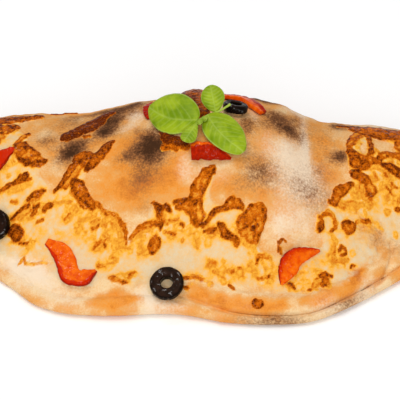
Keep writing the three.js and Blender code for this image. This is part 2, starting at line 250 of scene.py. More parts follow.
def section_points(x, stretch, t):
    """Depth and height of the section's loop at x, t of the way along one stretch of it."""
    s = section_at(x)
    widest = FOLD_HEIGHT * s.crest
    quarter = t * np.pi / 2
    if stretch == "base":
        y, z = (s.back - BACK_TUCK) * (1 - t) + (s.front + FRONT_TUCK) * t, 0 * x * t
    elif stretch == "lip":
        inner = np.maximum(0, 2 * t - 1) ** 2 * (s.seam - s.front - FRONT_TUCK)
        y = s.front + FRONT_TUCK * (1 - np.sin(np.pi * t)) + inner
        z = s.lip * (1 - np.cos(np.pi * t)) / 2
    elif stretch == "front":
        y, z = s.seam + (s.crest_y - s.seam) * t, front_height(s, x, t)
    elif stretch == "fold":
        y = s.crest_y + (s.back - s.crest_y) * np.sin(quarter)
        z = fold_height(s, x, np.sin(quarter))
    else:
        y, z = s.back - BACK_TUCK * (1 - np.cos(quarter)), widest * (1 - np.sin(quarter))
    share = tip_share(x)
    return TIP_Y + (y - TIP_Y) * share, TIP_Z + (z - TIP_Z) * share


def top_height(x, y):
    """Height of the dough's plain top over the plan point (x, y)."""
    depth = undrawn(x, y)
    s = section_at(x)
    t = np.clip((depth - s.seam) / (s.crest_y - s.seam), 0, 1)
    q = np.clip((depth - s.crest_y) / (s.back - s.crest_y), 0, 1)
    height = np.where(depth <= s.crest_y, front_height(s, x, t), fold_height(s, x, q))
    return TIP_Z + (height - TIP_Z) * safe_tip_share(x)


def top_normal(x, y):
    """Direction straight out of the dough's plain top over the plan point (x, y)."""
    d = SLOPE_STEP
    across = (top_height(x - d, y) - top_height(x + d, y)) / (2 * d)
    deep = (top_height(x, y - d) - top_height(x, y + d)) / (2 * d)
    normal = np.stack([across, deep, np.ones_like(across)], -1)
    return normal / np.linalg.norm(normal, axis=-1, keepdims=True)


def over_top(x, y, lift):
    """The points at a lift over the plan points (x, y)."""
    x, y = np.asarray(x, float), np.asarray(y, float)
    lift = np.asarray(lift, float)[..., None]
    return np.stack([x, y, top_height(x, y)], -1) + top_normal(x, y) * lift


# Creases in the dough: depth, width, and the points along each.
CREASES = [
    (1.5, 1.0, [(91, -28), (91.4, -34), (89.8, -40), (86.5, -46), (82, -51)]),
    (0.7, 1.0, [(-4.6, -56.5), (-2, -59.5), (0.8, -62.5)]),
    (0.9, 1.6, [(-62, -58.5), (-50, -60.5), (-40, -60.3), (-32, -57.6)]),
    (0.8, 1.4, [(-45, -66.5), (-40, -66), (-33, -64.5)]),
    (0.6, 0.8, [(-93, -36), (-88, -39), (-84.5, -43)]),
    (0.5, 0.7, [(-90, -42), (-86, -47), (-84, -52)]),
    (0.6, 0.8, [(45.7, -38.6), (50, -37), (54.6, -35.8), (56.8, -33.6)]),
    (0.7, 1.2, [(-20, -57), (-16.5, -62), (-10.9, -64.5)]),
    (0.5, 1.0, [(75, -50), (82, -43), (85, -36), (84, -30)]),
    (0.5, 1.0, [(-112, -24), (-106, -31), (-98, -37)]),
    (0.6, 1.2, [(100, -28), (108, -20), (114, -10), (116, 2)]),
]
# Bubbles and folds that stand up from the dough: oval patches, strength is their height.
BULGES = [
    (95, -36, 5, 9, 30, 1.2), (-44, -62, 13, 4, 3, 1.0), (-26, -1, 8, 10, 0, 0.9),
    (-66.5, 6.5, 8, 3.5, 42, 0.7), (-50, 17, 6, 4, 40, 0.6), (38, 22, 9, 6, -55, 0.9),
    (25.5, -14, 7, 5, 0, 0.5), (68, 7, 4, 3.5, 0, 0.6), (50, -15, 7, 5, 0, 0.4),
    (-84, -47, 10, 5, -45, 0.8), (66, -58, 9, 3, 30, 0.6), (-6, 34, 10, 14, 0, 1.4),
    (-40, 52, 14, 6, 0, 0.8), (30, 50, 12, 6, 0, 0.9), (92, 44, 12, 5, 0, 0.7), (-96, 50, 10, 5, 0, 0.8),
]
SKIN_SWELLS = ((0.34, 8.5, 11), (0.2, 3.7, 12), (0.1, 1.9, 13))  # strength, size and seed of each layer
GIRTH = 1.3  # share of the height added to the depth, so that bumps are as small on steep sides as on top
RELIEF_FOOT = 0.2, 4.0  # heights between which the relief grows, so that the underside stays flat


def dough_relief(x, y, z, upper):
    """How far the baked skin stands off the dough's plain shape. upper marks its top side."""
    relief = layered_swells(x, y + GIRTH * z, SKIN_SWELLS)
    relief = relief + upper * patches(x, y, BULGES)
    for depth, width, path in CREASES:
        distance, _ = stroke_distance(x, y, path)
        relief = relief - upper * depth * np.exp(-((distance / width) ** 2))
    seam = TIP_Y + (FRONT_EDGE(x) + LIP_WIDTH(x) - TIP_Y) * safe_tip_share(x)
    relief = relief - upper * SEAM_DEPTH(x) * np.exp(-(((y - seam) / SEAM_WIDTH) ** 2))
    return relief * ease(z, *RELIEF_FOOT)


# ---------------------------------------------------------------- how the dough baked

# Soft oval patches: x, y, half length, half width, turn and strength.
TOASTED = [
    (-34, -9, 18, 9, -12, 0.34), (-46, -14, 12, 7, -30, 0.2), (-20, -17, 11, 6, 0, 0.24),
    (-40, 4, 12, 8, 20, 0.26), (-54, 9, 9, 4, 10, 0.3), (-76, 8, 8, 6, 0, 0.1), (-66, 24, 12, 9, 30, 0.2),
    (-12, -12, 6, 5, 0, 0.2), (60, 16, 9, 24, 0, 0.2), (58, -6, 9, 7, 0, 0.24), (28, 0, 6, 9, -20, 0.3),
    (8, -21, 13, 4, 0, 0.3), (-30, -16.4, 8, 5, 0, 0.44), (-38, -22, 6, 4, 0, 0.2),
    (30, -23, 9, 3.5, 10, 0.3), (22, 6, 9, 8, 0, 0.2), (72, -46, 4, 4, 0, 0.4), (50, -20, 8, 4, 0, 0.14),
    (-93, -45, 7, 4, -40, 0.14), (80, -36, 7, 5, 40, 0.14), (44, -26, 12, 8, 0, 0.12),
    (34, -14, 5, 5, 0, 0.2), (-120, 10, 14, 16, 0, 0.2), (118, 0, 14, 16, 0, 0.2), (0, 56, 90, 9, 0, 0.2),
    (-70, 48, 22, 8, 0, 0.2), (70, 46, 20, 7, 0, 0.2), (-134, 20, 8, 14, 0, 0.3), (134, 16, 8, 14, 0, 0.3),
]
FLOURED = [
    (40, -2, 13, 12, 0, 0.85), (49.3, 14, 2.4, 22, 0, 0.8), (-34.5, 25, 5, 9, 12, 0.72),
    (-40, 16, 5, 4, 30, 0.4), (46, -30, 12, 7, 0, 0.5), (36, -34, 8, 6, 0, 0.5), (53, -13, 11, 11, 0, 0.4),
    (41, -17, 14, 8, 0, 0.45), (-27, -61, 7, 6, 0, 0.85), (-82, -45, 15, 7, -38, 0.9),
    (-92, -37, 8, 5, -40, 0.6), (46, 40, 9, 8, 0, 0.7), (86, 40, 16, 4, 0, 0.7), (24.5, 20, 3.4, 6, 0, 0.6),
    (93, -22, 8, 9, 0, 0.3), (-18, -66, 9, 3, 0, 0.7), (-60, 50, 14, 6, 0, 0.4), (10, 54, 20, 5, 0, 0.3),
    (0, -16, 14, 5, 0, 0.42), (-10, -12, 4, 5, 0, 0.4), (56, -64, 9, 4, 20, 0.6), (76, -54, 9, 4, 38, 0.5),
    (-66, -62, 10, 4, -10, 0.4), (14, -64, 12, 3, -10, 0.3),
]
# Scorched patches, and a few patches of painted shade and shadow that darken the dough the same way.
SCORCHED_AND_SHADED = [
    # the left half
    (-67, 5.2, 6, 3.4, 42, 0.56), (-62.5, 9, 6, 4, 20, 0.42), (-66, 6, 10, 8, 35, 0.42),
    (-78.5, 13.5, 6, 4, 0, 0.34), (-49.6, 16.8, 5, 5.4, 40, 0.66), (-46.6, 27.5, 4.6, 6, 35, 0.55),
    (-45, 29, 9, 9, 0, 0.3), (-49, 18, 8.5, 9, 40, 0.34), (-42, 36, 12, 5, 0, 0.35),
    # (-69, 33) is painted shade on the back of the crest.
    (-69, 33, 6, 7, 0, 0.28), (-74, 22, 17, 14, 0, 0.24), (-58, 30, 9, 8, 0, 0.12),
    (-26, 0.5, 8, 9, 0, 0.56), (-25, -3.5, 6, 5.4, 0, 0.3), (-26.4, -1.4, 12.5, 13, 0, 0.52),
    (-37, -2.4, 7, 3.6, 8, 0.4), (-31, -16, 8, 5, 0, 0.3), (-29, -25.5, 6, 3.4, 0, 0.2),
    (-20, 30, 12, 8, 0, 0.3), (-33, 12, 4, 3, 0, 0.2), (-52, 40, 16, 4, 0, 0.5), (-35, 41, 5, 4, 0, 0.6),
    (-96, 50, 18, 4, 0, 0.4), (-20, 50, 22, 7, 0, 0.5),
    # the right half
    (35, 25, 6, 6, -20, 0.5), (41.5, 14.6, 7, 5, -35, 0.68), (37, 19, 13, 12, 0, 0.32),
    # (20.5, 9) is a painted shadow beside the right basil leaf and the crest olive.
    (30, 15, 7, 5, 0, 0.2), (20.5, 9, 4.4, 7, 0, 0.6), (21, -4, 4, 5, 0, 0.14),
    (26.4, -14.4, 9.6, 7.6, 0, 0.5), (49.6, -17, 10, 8, -15, 0.38), (56.5, -5, 6, 5, 0, 0.26),
    (67.4, 6.6, 4, 3.4, 0, 0.55), (66, 5, 8, 5, 0, 0.22), (68.5, 35, 4.6, 5.5, 0, 0.8),
    (56, 26, 14, 12, 0, 0.16), (60, 10, 10, 20, 0, 0.16), (46, 30, 4, 8, 0, 0.3), (14, -21, 9, 4, 0, 0.2),
    (58, -16, 5, 4, 0, 0.14), (38, -4, 16, 14, 0, 0.08), (30, 44, 8, 6, 0, 0.5), (20, 48, 24, 7, 0, 0.4),
    (104, 44, 18, 4.5, 0, 0.45), (62, 48, 18, 6, 0, 0.35),
    # the lip and the tips
    # (86, -26) is painted shade where the right wing curls and turns away from the light.
    (34, -73, 22, 2.6, 0, 0.5), (68, -61.5, 12, 2.4, 32, 0.42), (86, -26, 13, 8, -20, 0.3),
    (-35, 30, 6, 6, 0, 0.2), (-136, 34, 6, 6, 0, 0.4), (138, 30, 5, 6, 0, 0.4),
]
# Toasted streaks along the roll behind the seam and on the lip: strength, and (x, y, width) along each.
ROLL_STREAKS = [
    (0.56, [(-6, -58.5, 3), (-3.6, -60.2, 3.6), (2.4, -63.5, 4.4), (10.6, -66.3, 4.6), (17.5, -67.8, 4.6),
            (23.6, -67.6, 4.6), (30.7, -68, 4), (37, -67, 2.6)]),
    (0.56, [(47, -65.2, 2.4), (55, -63.8, 4.6), (60, -60.5, 5.4), (66.3, -57.2, 5.2), (69.6, -54.2, 5),
            (72, -51, 4.4), (74.8, -45.5, 3)]),
    (0.34, [(78.4, -35, 3), (79, -40, 3)]),
    (0.37, [(79, -51, 2), (83, -48, 3.4), (86.5, -44, 2)]),
    (0.43, [(91, -45, 2.4), (95, -42.5, 4.4), (99, -40, 5)]),
    (0.66, [(-55, -64.5, 3), (-49, -63.6, 7), (-42, -63.4, 7.2), (-36, -63.4, 4), (-31, -63, 1.6)]),
    (0.4, [(-70, -65.5, 3), (-58, -67.4, 4.6), (-46, -68.2, 4), (-34, -67.4, 3)]),
    (0.37, [(-22, -66.6, 2.4), (-12, -67.6, 3.4), (-2, -69, 4), (8, -71, 3), (20, -73, 2.4)]),
    (0.31, [(-88, -57, 3), (-82, -59.5, 4), (-76, -62.5, 3)]),
    (0.31, [(-103, -41, 3), (-98.5, -44.6, 4)]),
]
STREAK_FADE = -3.4, 1.6  # how far outside and inside its edge a streak fades
STREAK_WANDER = 0.8, 4, 25  # strength, size and seed of the swells that bend the streaks
UNDER_HEIGHT = 12, 2  # the underside's look comes in from the first height down to the second
FRONT_DEPTH = 17, 7  # the front's paler look comes in from the first depth behind the seam to the second
# How toasted and how floured plain dough is, and how that changes at the front and on the underside.
PLAIN_TOAST, FRONT_PALER, UNDER_PALER = 0.26, 0.16, 0.1
PLAIN_FLOUR, UNDER_FLOUR = -0.06, 0.2
# Strength, size and seed of each layer of swells.
TOAST_SWELLS = ((0.16, 8, 21), (0.12, 4, 22), (0.06, 2, 26))
SCORCH_SWELLS = ((0.22, 2.6, 23), (0.12, 1.2, 27))
FLOUR_SWELLS = ((0.1, 5, 24),)


def dough_bake(x, y, z):
    """How toasted, scorched and floured the dough is at each point, from 0 to about 1; the scorch mark also
    holds a few patches of painted shade.
    """
    streaks = np.zeros(x.shape)
    wander = layered_swells(x, y, [STREAK_WANDER])
    for strength, path in ROLL_STREAKS:
        distance, half = stroke_distance(x, y + wander, path)
        streaks = np.maximum(streaks, strength * ease(half - distance, *STREAK_FADE))
    under = ease(z, *UNDER_HEIGHT)
    front = ease(undrawn(x, y) - FRONT_EDGE(x) - LIP_WIDTH(x), *FRONT_DEPTH)
    plain = PLAIN_TOAST - FRONT_PALER * front + patches(x, y, TOASTED) + streaks
    toast = plain + layered_swells(x, y + z, TOAST_SWELLS) - UNDER_PALER * under
    # The scorch mark also takes the painted shade patches of its table.
    scorch = patches(x, y, SCORCHED_AND_SHADED) * layered_swells(x, y + z, SCORCH_SWELLS, 1)
    dusted = layered_swells(x, y + z, FLOUR_SWELLS, patches(x, y, FLOURED) * (1 - streaks))
    flour = dusted + PLAIN_FLOUR + UNDER_FLOUR * under
    return np.clip(toast, 0, 1.2), np.clip(scorch, 0, 1.3), np.clip(flour, 0, 1)


# ---------------------------------------------------------------- the melted cheese

# Outline of the cheese that has melted over the front and both wings, from the left end.
CHEESE_POOL = [
    (-129, 8), (-125, 22), (-117, 35), (-106, 44), (-92, 42), (-82, 39.6), (-81, 36), (-86, 34.4),
    (-93, 33.4), (-94, 29), (-92, 24), (-89, 22), (-86, 20), (-88.5, 15), (-87.5, 11), (-82, 7), (-76.5, 3),
    (-77, 0), (-81, -1), (-81.5, -4), (-77, -8), (-74, -12), (-67, -4), (-62.5, 2), (-58, 5.4), (-54, 3.6),
    (-50, 6.6), (-45.5, 6.6), (-46.5, 2), (-52, -3.4), (-58, -6), (-58.6, -10), (-53, -18), (-46, -22.5),
    (-39.5, -27.5), (-36.5, -33), (-36.7, -37), (-34, -33), (-29, -30), (-26.5, -25), (-21, -24.4),
    (-14, -24), (-8, -23.5), (-4, -20), (0, -16), (3.6, -14.4), (6, -15.4), (5, -19), (3.6, -23), (4, -27),
    (9, -26.6), (14, -25.2), (19.5, -28), (25, -25.5), (30, -27.5), (28.5, -34), (27, -41), (33, -44),
    (38, -44), (47, -39), (55, -37), (56, -34), (53, -30), (54, -25), (59, -20.5), (60, -18), (62, -13),
    (66, -8.5), (71, -5.5), (71, -1), (69.5, 4), (69.6, 11), (71.5, 19), (74, 26), (77, 31.5), (86, 35),
    (98, 36), (112, 33), (122, 26), (129, 8), (124, -7), (112, -20), (101, -30), (90, -36), (80, -44),
    (70, -53), (60, -60), (40, -63), (20, -63), (5, -60), (-8, -57), (-20, -60.5), (-40, -58.5), (-58, -56),
    (-70, -53), (-78, -44), (-86, -42), (-92, -38), (-104, -31), (-116, -20), (-126, -6),
]
POOL_THICKNESS = 0.75
# How far outside its outline the pool begins, how far inside it is full, and how much farther by the seam.
POOL_START, POOL_FULL, POOL_FULL_BY_SEAM = -0.6, 3.5, 6
SEAM_DEPTHS = 22, 13  # "by the seam" comes in from the first depth behind it to the second
# Dough that shows through the cheese: soft oval patches. The one at (84, -26) thins the right wing's pool so
# that painted shade on the dough below shows, where the wing curls and turns away from the light.
CHEESE_GAPS_AND_SHADE = [
    (89.5, 15, 5, 6.4, 10, 2.0), (78.6, 11.5, 1.9, 4, 0, 1.4), (-98.5, 33, 2.6, 1, 20, 1.2),
    (-28, -35.5, 1.6, 2.4, 0, 0.8), (84, -26, 13, 7, -20, 0.62),
]
# Browned ridges and blisters: how brown, how high, and (x, y, width) along each.
RIDGES = [
    # left wing
    (0.8, 0.7, [(-119, 32, 4), (-112, 36, 7), (-105, 37.6, 9), (-99, 37, 8), (-92, 36.6, 6.4),
                (-84, 37, 4.5)]),
    (0.62, 0.6, [(-112, 21, 5), (-106, 22, 6), (-102, 20.6, 4)]),
    (1, 0.7, [(-110, 38.4, 6), (-104, 38.4, 7.4), (-98, 38.2, 6.4), (-92, 38, 5), (-86, 38, 4),
              (-83, 37.6, 3)]),
    (0.8, 0.7, [(-112, 27, 8), (-105, 27.4, 10), (-100, 27, 9), (-96, 28, 6)]),
    (0.92, 0.7, [(-100.5, 31.4, 1.6), (-97.6, 29.6, 3.6), (-96.6, 27.4, 3.4)]),
    (0.85, 0.6, [(-104, 34, 2.4), (-103, 26.5, 2.4)]),
    (0.8, 0.6, [(-102.6, 18.6, 1.6), (-102.4, 16.6, 1.6)]),
    (0.72, 0.8, [(-94, 13.6, 3), (-91.4, 17, 3.4), (-88.4, 20.2, 3.4)]),
    (0.92, 0.7, [(-89, 19.4, 2), (-87.8, 20.6, 2.2)]),
    (0.9, 0.8, [(-93.4, 13, 3.4), (-90, 12.4, 4.4), (-87, 9.6, 3)]),
    (0.9, 0.6, [(-92, 6, 1.8), (-89.4, 3.4, 2.4)]),
    (0.82, 0.8, [(-94, 9.6, 4), (-91, 9.4, 8), (-87.6, 6.4, 9), (-84, 3.4, 7), (-80, 1.6, 5)]),
    (0.92, 0.7, [(-90.4, 4.6, 1.8), (-88.4, 2.3, 2.2), (-84.6, 1.4, 2.2), (-82.6, 2.6, 2.6),
                 (-80.4, 2.2, 2.2), (-78.4, 2, 2.6)]),
    (0.8, 0.6, [(-102, -6, 1.6), (-98, -5.2, 2.4), (-93.5, -4.4, 2.6), (-89, -4, 3.6), (-85.4, -5, 1.6)]),
    (0.95, 0.8, [(-90.4, -3.4, 3.6), (-87.4, -3.2, 3.6)]),
    (0.45, 0.4, [(-97, -6.8, 2), (-90, -7.4, 4), (-86, -6.6, 2.6)]),
    (0.66, 0.5, [(-95, -11.3, 1.8), (-92.8, -11.5, 2)]),
    (0.85, 0.8, [(-86.6, -12.5, 2), (-84, -11.9, 3), (-80.6, -11.4, 3), (-78, -10.7, 1.8)]),
    (0.6, 0.6, [(-86, -13, 2.6), (-81.6, -13.2, 3)]),
    (0.88, 0.8, [(-94.4, -17.6, 1), (-92.4, -16.2, 2), (-89.6, -15, 2.6), (-86, -15, 2)]),
    (0.6, 0.6, [(-93.6, -18, 2), (-90, -17.2, 4.4), (-86.4, -16.8, 3.4)]),
    (0.74, 0.6, [(-83.6, -15.6, 2), (-83.2, -17.6, 3.4), (-84.6, -19.2, 2)]),
    (0.85, 0.5, [(-82.4, -16.4, 1.4), (-80.6, -16.5, 1.4)]),
    (0.84, 0.8, [(-77.8, -18.2, 2.8), (-75, -17.6, 2.8)]),
    (0.72, 0.6, [(-81.8, -22.4, 1.8), (-79.2, -22, 2.4)]),
    (1, 1.4, [(-93.4, -22.6, 5.6), (-90.6, -25.2, 5.8)]),
    (0.6, 0.6, [(-92.4, -26.6, 3), (-89, -29, 3), (-86.6, -31, 2)]),
    (0.8, 0.5, [(-89, -29.4, 2.6), (-86.4, -30.2, 2)]),
    (0.6, 0.5, [(-90.2, -38, 2), (-88, -37.2, 2.6), (-87, -38.6, 2)]),
    (0.42, 0.3, [(-87, -39.4, 1.6), (-83, -41, 1.4), (-77, -42, 1.2)]),
    (0.84, 0.8, [(-73.4, -11.6, 2), (-71, -9.4, 3), (-68.4, -6.4, 3.6), (-65.4, -2.8, 3.6),
                 (-62.6, 0.4, 3.6)]),
    (0.7, 0.8, [(-68.6, -9.6, 4), (-65, -5.6, 6), (-61.6, -1.4, 7), (-58.6, 1, 7)]),
    (0.9, 0.9, [(-63, 1.6, 4.6), (-60, 2.6, 7), (-57, 2.4, 7), (-54.6, 1.4, 4)]),
    (0.85, 0.7, [(-60.6, -0.6, 3), (-58.4, -2.6, 2.6)]),
    (0.94, 1, [(-46, 6.6, 4.4), (-48.4, 4.6, 6), (-51.2, 1.6, 6.4), (-54.2, -1.6, 6), (-57, -4.2, 4)]),
    (0.86, 0.9, [(-64.6, -9.6, 4), (-62.4, -10.8, 7), (-60.6, -13.4, 5.4), (-57.6, -17, 4.8),
                 (-54.4, -20.6, 4)]),
    (0.72, 0.8, [(-64.6, -12.4, 3), (-61.6, -15, 4), (-58, -19.4, 4)]),
    (0.6, 0.5, [(-68.4, -24, 1.8), (-66, -22.6, 2.2), (-64.4, -22.8, 1.6)]),
    (0.5, 0.5, [(-67.6, -24.6, 3), (-65.4, -24, 3)]),
    (0.55, 0.4, [(-59, -25.4, 2.4), (-56.8, -25, 2.2)]),
    (0.6, 0.4, [(-65, -20.6, 1.2), (-62, -21.4, 1.2)]),
    (0.55, 0.4, [(-72.4, -16.4, 1), (-68, -17.4, 1.2), (-65, -16.8, 1)]),
    (0.5, 0.4, [(-63, -28.6, 1.2), (-61, -28.8, 1.2)]),
    (0.64, 0.5, [(-54.6, -30.2, 1.6), (-52, -28.8, 2.4)]),
    (0.6, 0.4, [(-54.4, -26.6, 1), (-51, -26.6, 1.2)]),
    (0.66, 0.5, [(-53.6, -38, 2), (-52.4, -36, 2.6), (-49.6, -35.6, 2), (-48.4, -37.4, 1.6)]),
    (0.5, 0.4, [(-53, -38.4, 2), (-50, -38.6, 2.6)]),
    # the long finger towards the crest, and its neighbours
    (1.2, 1, [(-69, 14.8, 7), (-66.6, 16.6, 7.4), (-63, 18.8, 7.6), (-59, 22, 9), (-55.6, 26, 10),
              (-52.4, 30, 8), (-49.6, 33.6, 5.4), (-47, 34.8, 3)]),
    (0.7, 0.5, [(-66.6, 15.6, 1.6), (-61, 19.4, 2), (-57.6, 23, 2)]),
    (0.9, 0.6, [(-59.8, 14.6, 2.6), (-57.2, 15, 2.6)]),
    (0.95, 0.7, [(-79, 45, 2), (-72, 46.4, 2.6), (-66, 46.4, 2)]),
    # front pool, from the left
    (0.7, 0.8, [(-52.4, -20.6, 2.8), (-49.4, -22.4, 2.4), (-46.6, -24.6, 2.2), (-43.8, -26.4, 2.4),
                (-41, -28.4, 2.4), (-39, -31.2, 2.6), (-38, -34.4, 2.6), (-37.8, -37.4, 2)]),
    (0.5, 0.5, [(-50, -24, 2.4), (-45, -27, 2.4), (-42, -31, 2.8), (-40.6, -36, 2.6)]),
    (0.5, 0.5, [(-50, -34.4, 2), (-45, -35.8, 2.4), (-41, -38, 2.4), (-38.6, -38.8, 1.6)]),
    (0.6, 0.4, [(-49.6, -29, 2), (-47.6, -29.6, 1.6)]),
    (0.55, 0.4, [(-45.6, -42.6, 2.4), (-43.8, -43, 1.6)]),
    (0.6, 0.5, [(-51, -46, 2.6), (-48.6, -46, 2.4)]),
    (0.62, 0.5, [(-45.4, -53.4, 2), (-43, -54.6, 2.4), (-39.6, -55.8, 2.6), (-36.8, -54, 2),
                 (-35.4, -51.4, 2.4), (-33.4, -49.6, 2.2)]),
    (0.7, 0.4, [(-44.6, -53.2, 1.3), (-43.2, -53.8, 1.3)]),
    (0.74, 0.4, [(-39.6, -55.4, 1.6), (-37.8, -55.2, 1.6)]),
    (0.7, 0.4, [(-36.2, -52.4, 1.4), (-35.8, -51.2, 1.3)]),
    (0.93, 0.9, [(-25.4, -24.6, 1.4), (-24, -26, 2.8), (-21.8, -26.8, 3.4), (-19.2, -26.4, 3),
                 (-16.8, -27.4, 1.8)]),
    (0.84, 0.8, [(-22.4, -28, 3.6), (-21.8, -31, 2.8), (-21.6, -33, 2)]),
    (0.68, 0.6, [(-35.6, -36, 1.6), (-34, -34, 2), (-31.4, -32.6, 2.4), (-28, -31.8, 2.6),
                 (-24.6, -31.6, 2.6), (-22.6, -32, 2)]),
    (0.5, 0.5, [(-33.8, -36, 1.6), (-30, -34, 1.6), (-25, -33.6, 2)]),
    (0.62, 0.5, [(-20.6, -30.2, 2.4), (-18.4, -31.4, 2)]),
    (0.6, 0.5, [(-17, -30.6, 1.8), (-15, -31.4, 1.8), (-12.4, -31, 1.8)]),
    (0.66, 0.5, [(-18, -34.6, 1), (-14.6, -35.6, 1.2)]),
    (0.84, 1.2, [(-25, -39.8, 5.8), (-23.6, -38.6, 6)]),
    (0.48, 0.5, [(-29.4, -36, 1.6), (-31.6, -40, 2.2), (-28, -42.4, 2.4)]),
    (0.85, 0.7, [(-14.8, -25.1, 1), (-11.4, -25.4, 1.8), (-8, -24.9, 2.2)]),
    (0.8, 1, [(-5.8, -25.6, 5), (-4.2, -22.6, 7), (-1.8, -19.4, 7.2), (1, -16.8, 6.8), (3.2, -15.2, 5)]),
    (0.76, 1, [(-4, -27.4, 7), (-2.4, -30.6, 5), (-3.6, -34, 3)]),
    (0.72, 0.8, [(-13.6, -26.8, 2), (-9.4, -27.4, 4), (-5.6, -28.8, 5), (-5.8, -32, 3)]),
    (0.8, 0.6, [(-4.8, -33, 2.4), (-1.4, -34, 2.6)]),
    (0.78, 0.9, [(-1, -34.4, 2.4), (1.4, -32.8, 3), (4.4, -30.6, 3), (7.4, -29, 3), (10, -27.8, 3.6),
                 (13, -27, 4.2), (15.6, -27.4, 3.8), (18, -28.6, 2.4)]),
    (0.66, 0.5, [(9, -28.4, 1), (14.6, -27.6, 1.2)]),
    (0.78, 0.6, [(0, -36.6, 1.8), (2.2, -37, 2.4), (5, -36.6, 1.8)]),
    (0.75, 0.5, [(-12, -33.2, 1.4), (-10.4, -33.4, 1.4)]),
    (0.6, 0.4, [(-4, -39.6, 1.6), (-3.6, -42.4, 1.8)]),
    (0.88, 1.0, [(6.6, -35, 2.6), (8.2, -36, 4), (10, -38, 3.6), (12.6, -39.8, 3.4), (15, -41, 3.4)]),
    (0.55, 0.4, [(16.8, -39.4, 1.8), (18, -41, 1.6)]),
    (0.78, 0.9, [(17, -35.6, 3.4), (19.6, -32.8, 5.4), (22.6, -30.4, 6.6), (25.8, -28.8, 5.6),
                 (26.4, -32, 5.6), (25.4, -36.4, 4.6), (24, -40, 3.6)]),
    (0.68, 0.7, [(18, -37.4, 4), (21.6, -36, 5), (21.4, -39, 4)]),
    (0.74, 0.6, [(15.6, -34.4, 1.6), (17.6, -31.6, 2), (20.6, -29.6, 2.2), (24, -27.4, 2.4),
                 (27, -26.9, 2.8), (28.8, -29, 2.8), (28.4, -32, 2.4), (26.8, -36, 2.2), (25.2, -40, 2)]),
    (0.9, 0.8, [(23, -36.2, 2.8), (25.2, -34.6, 2.4)]),
    (0.45, 0.4, [(22, -42, 2.4), (24, -44, 2)]),
    (0.62, 0.6, [(24.4, -48.4, 2.8), (25.2, -45.8, 3), (28.6, -45.2, 2.4), (31, -46, 1.8)]),
    (0.74, 0.5, [(24.2, -47.8, 1.6), (25, -46.6, 1.4)]),
    (0.66, 0.4, [(12.6, -51.6, 1.8), (14.2, -51.4, 1.8)]),
    (0.66, 0.4, [(15.8, -51.6, 1.8), (17.4, -51.2, 1.8)]),
    (0.42, 0.4, [(12, -53, 1.4), (17, -53.4, 1.6), (22, -50, 2)]),
    (0.75, 0.5, [(25, -55, 1.8), (27, -54, 2.2)]),
    (0.66, 0.5, [(29.2, -53.4, 2), (30.4, -52.4, 1.6)]),
    (0.6, 0.4, [(4.4, -51, 1.2), (6.8, -52.6, 1.6), (9.2, -54.4, 1.4)]),
    (0.45, 0.3, [(1, -47, 1.6), (4, -48.4, 1.6)]),
    (0.7, 0.6, [(11.2, -57.6, 2), (12.4, -59, 2.6), (13.4, -61, 2)]),
    (0.84, 0.7, [(24, -66.4, 4.2), (26, -66.4, 4)]),
    (0.72, 0.6, [(-10, -53.2, 2), (-7.6, -54, 2.6), (-5, -53.2, 2.2)]),
    (0.62, 0.5, [(-5.6, -52, 1.8), (-3.4, -53.4, 2.6), (-2, -55.4, 1.6)]),
    (0.7, 0.4, [(-9.8, -57.4, 0.9), (-8.2, -57.8, 0.7)]),
    (0.85, 0.6, [(35.2, -42.4, 1.1), (35, -39.8, 1.3), (36.8, -38.3, 1.5), (38.6, -39.2, 1.8)]),
    (0.7, 0.4, [(36.6, -43, 1), (36.4, -41.4, 1)]),
    # right of the pool and the right wing
    (0.82, 0.6, [(40.2, -55, 1.6), (41.8, -55.4, 2), (42.8, -57.6, 1.8)]),
    (0.5, 0.5, [(40, -57, 1.6), (44, -59, 1.8)]),
    (0.62, 0.7, [(51.6, -55.4, 3), (54, -53.4, 5), (57, -51.6, 6), (58.4, -56, 3.4)]),
    (0.78, 0.9, [(56, -49.6, 3), (57, -52.4, 4.4), (56.8, -55.8, 3)]),
    (0.78, 0.7, [(54.6, -50.4, 2.6), (57.6, -48.8, 2.4), (61, -49.6, 1.8)]),
    (0.78, 0.7, [(49.8, -57.8, 2.8)]),
    (0.55, 0.5, [(51, -57, 2), (53.4, -57.6, 2.6)]),
    (0.92, 0.9, [(55, -30.4, 2.2), (56, -28.4, 3.6), (56.2, -27, 2.6)]),
    (0.72, 0.7, [(55.4, -26, 1.8), (57.2, -23.8, 2.2), (59.6, -22.4, 2.6), (62, -22.8, 2.6),
                 (63.2, -25.2, 2.2), (62.6, -28, 2.2), (61.2, -30, 1.8)]),
    (0.55, 0.5, [(54.2, -31.4, 1.8), (55, -25, 1.4)]),
    (0.86, 1.0, [(68.6, -26.6, 5.4), (70.6, -25.6, 5)]),
    (0.66, 0.6, [(73.4, -23.4, 2.4), (77, -22.2, 2.6), (80.4, -21.2, 2.6)]),
    (0.82, 1, [(60.2, -18.2, 2.6), (62.6, -17.4, 4), (64, -14.8, 4.8), (65.8, -11.8, 5.2),
               (68.6, -9.4, 4.8), (72, -7.6, 2.4)]),
    (0.58, 0.7, [(64.6, -17.6, 3), (68.6, -16.8, 4), (73, -16.6, 4), (77, -15.4, 2.4)]),
    (0.56, 0.6, [(72.4, -12.6, 3), (77, -11.6, 4), (81, -10.6, 3)]),
    (0.86, 0.9, [(72.4, -3, 4), (75.4, -3.4, 5.4), (78, -4.6, 5)]),
    (0.8, 0.8, [(79.4, -6, 5), (81.4, -8.6, 5)]),
    (0.66, 0.6, [(79.6, -9.8, 3), (81.6, -11.6, 2)]),
    (0.8, 0.6, [(93.4, -13.2, 2.2), (95.6, -12.6, 2.8)]),
    (0.9, 1, [(71.4, 9, 4), (73.6, 5.6, 6.4), (74.4, 2.4, 6.4), (77, 0.6, 4), (80, 1.8, 3)]),
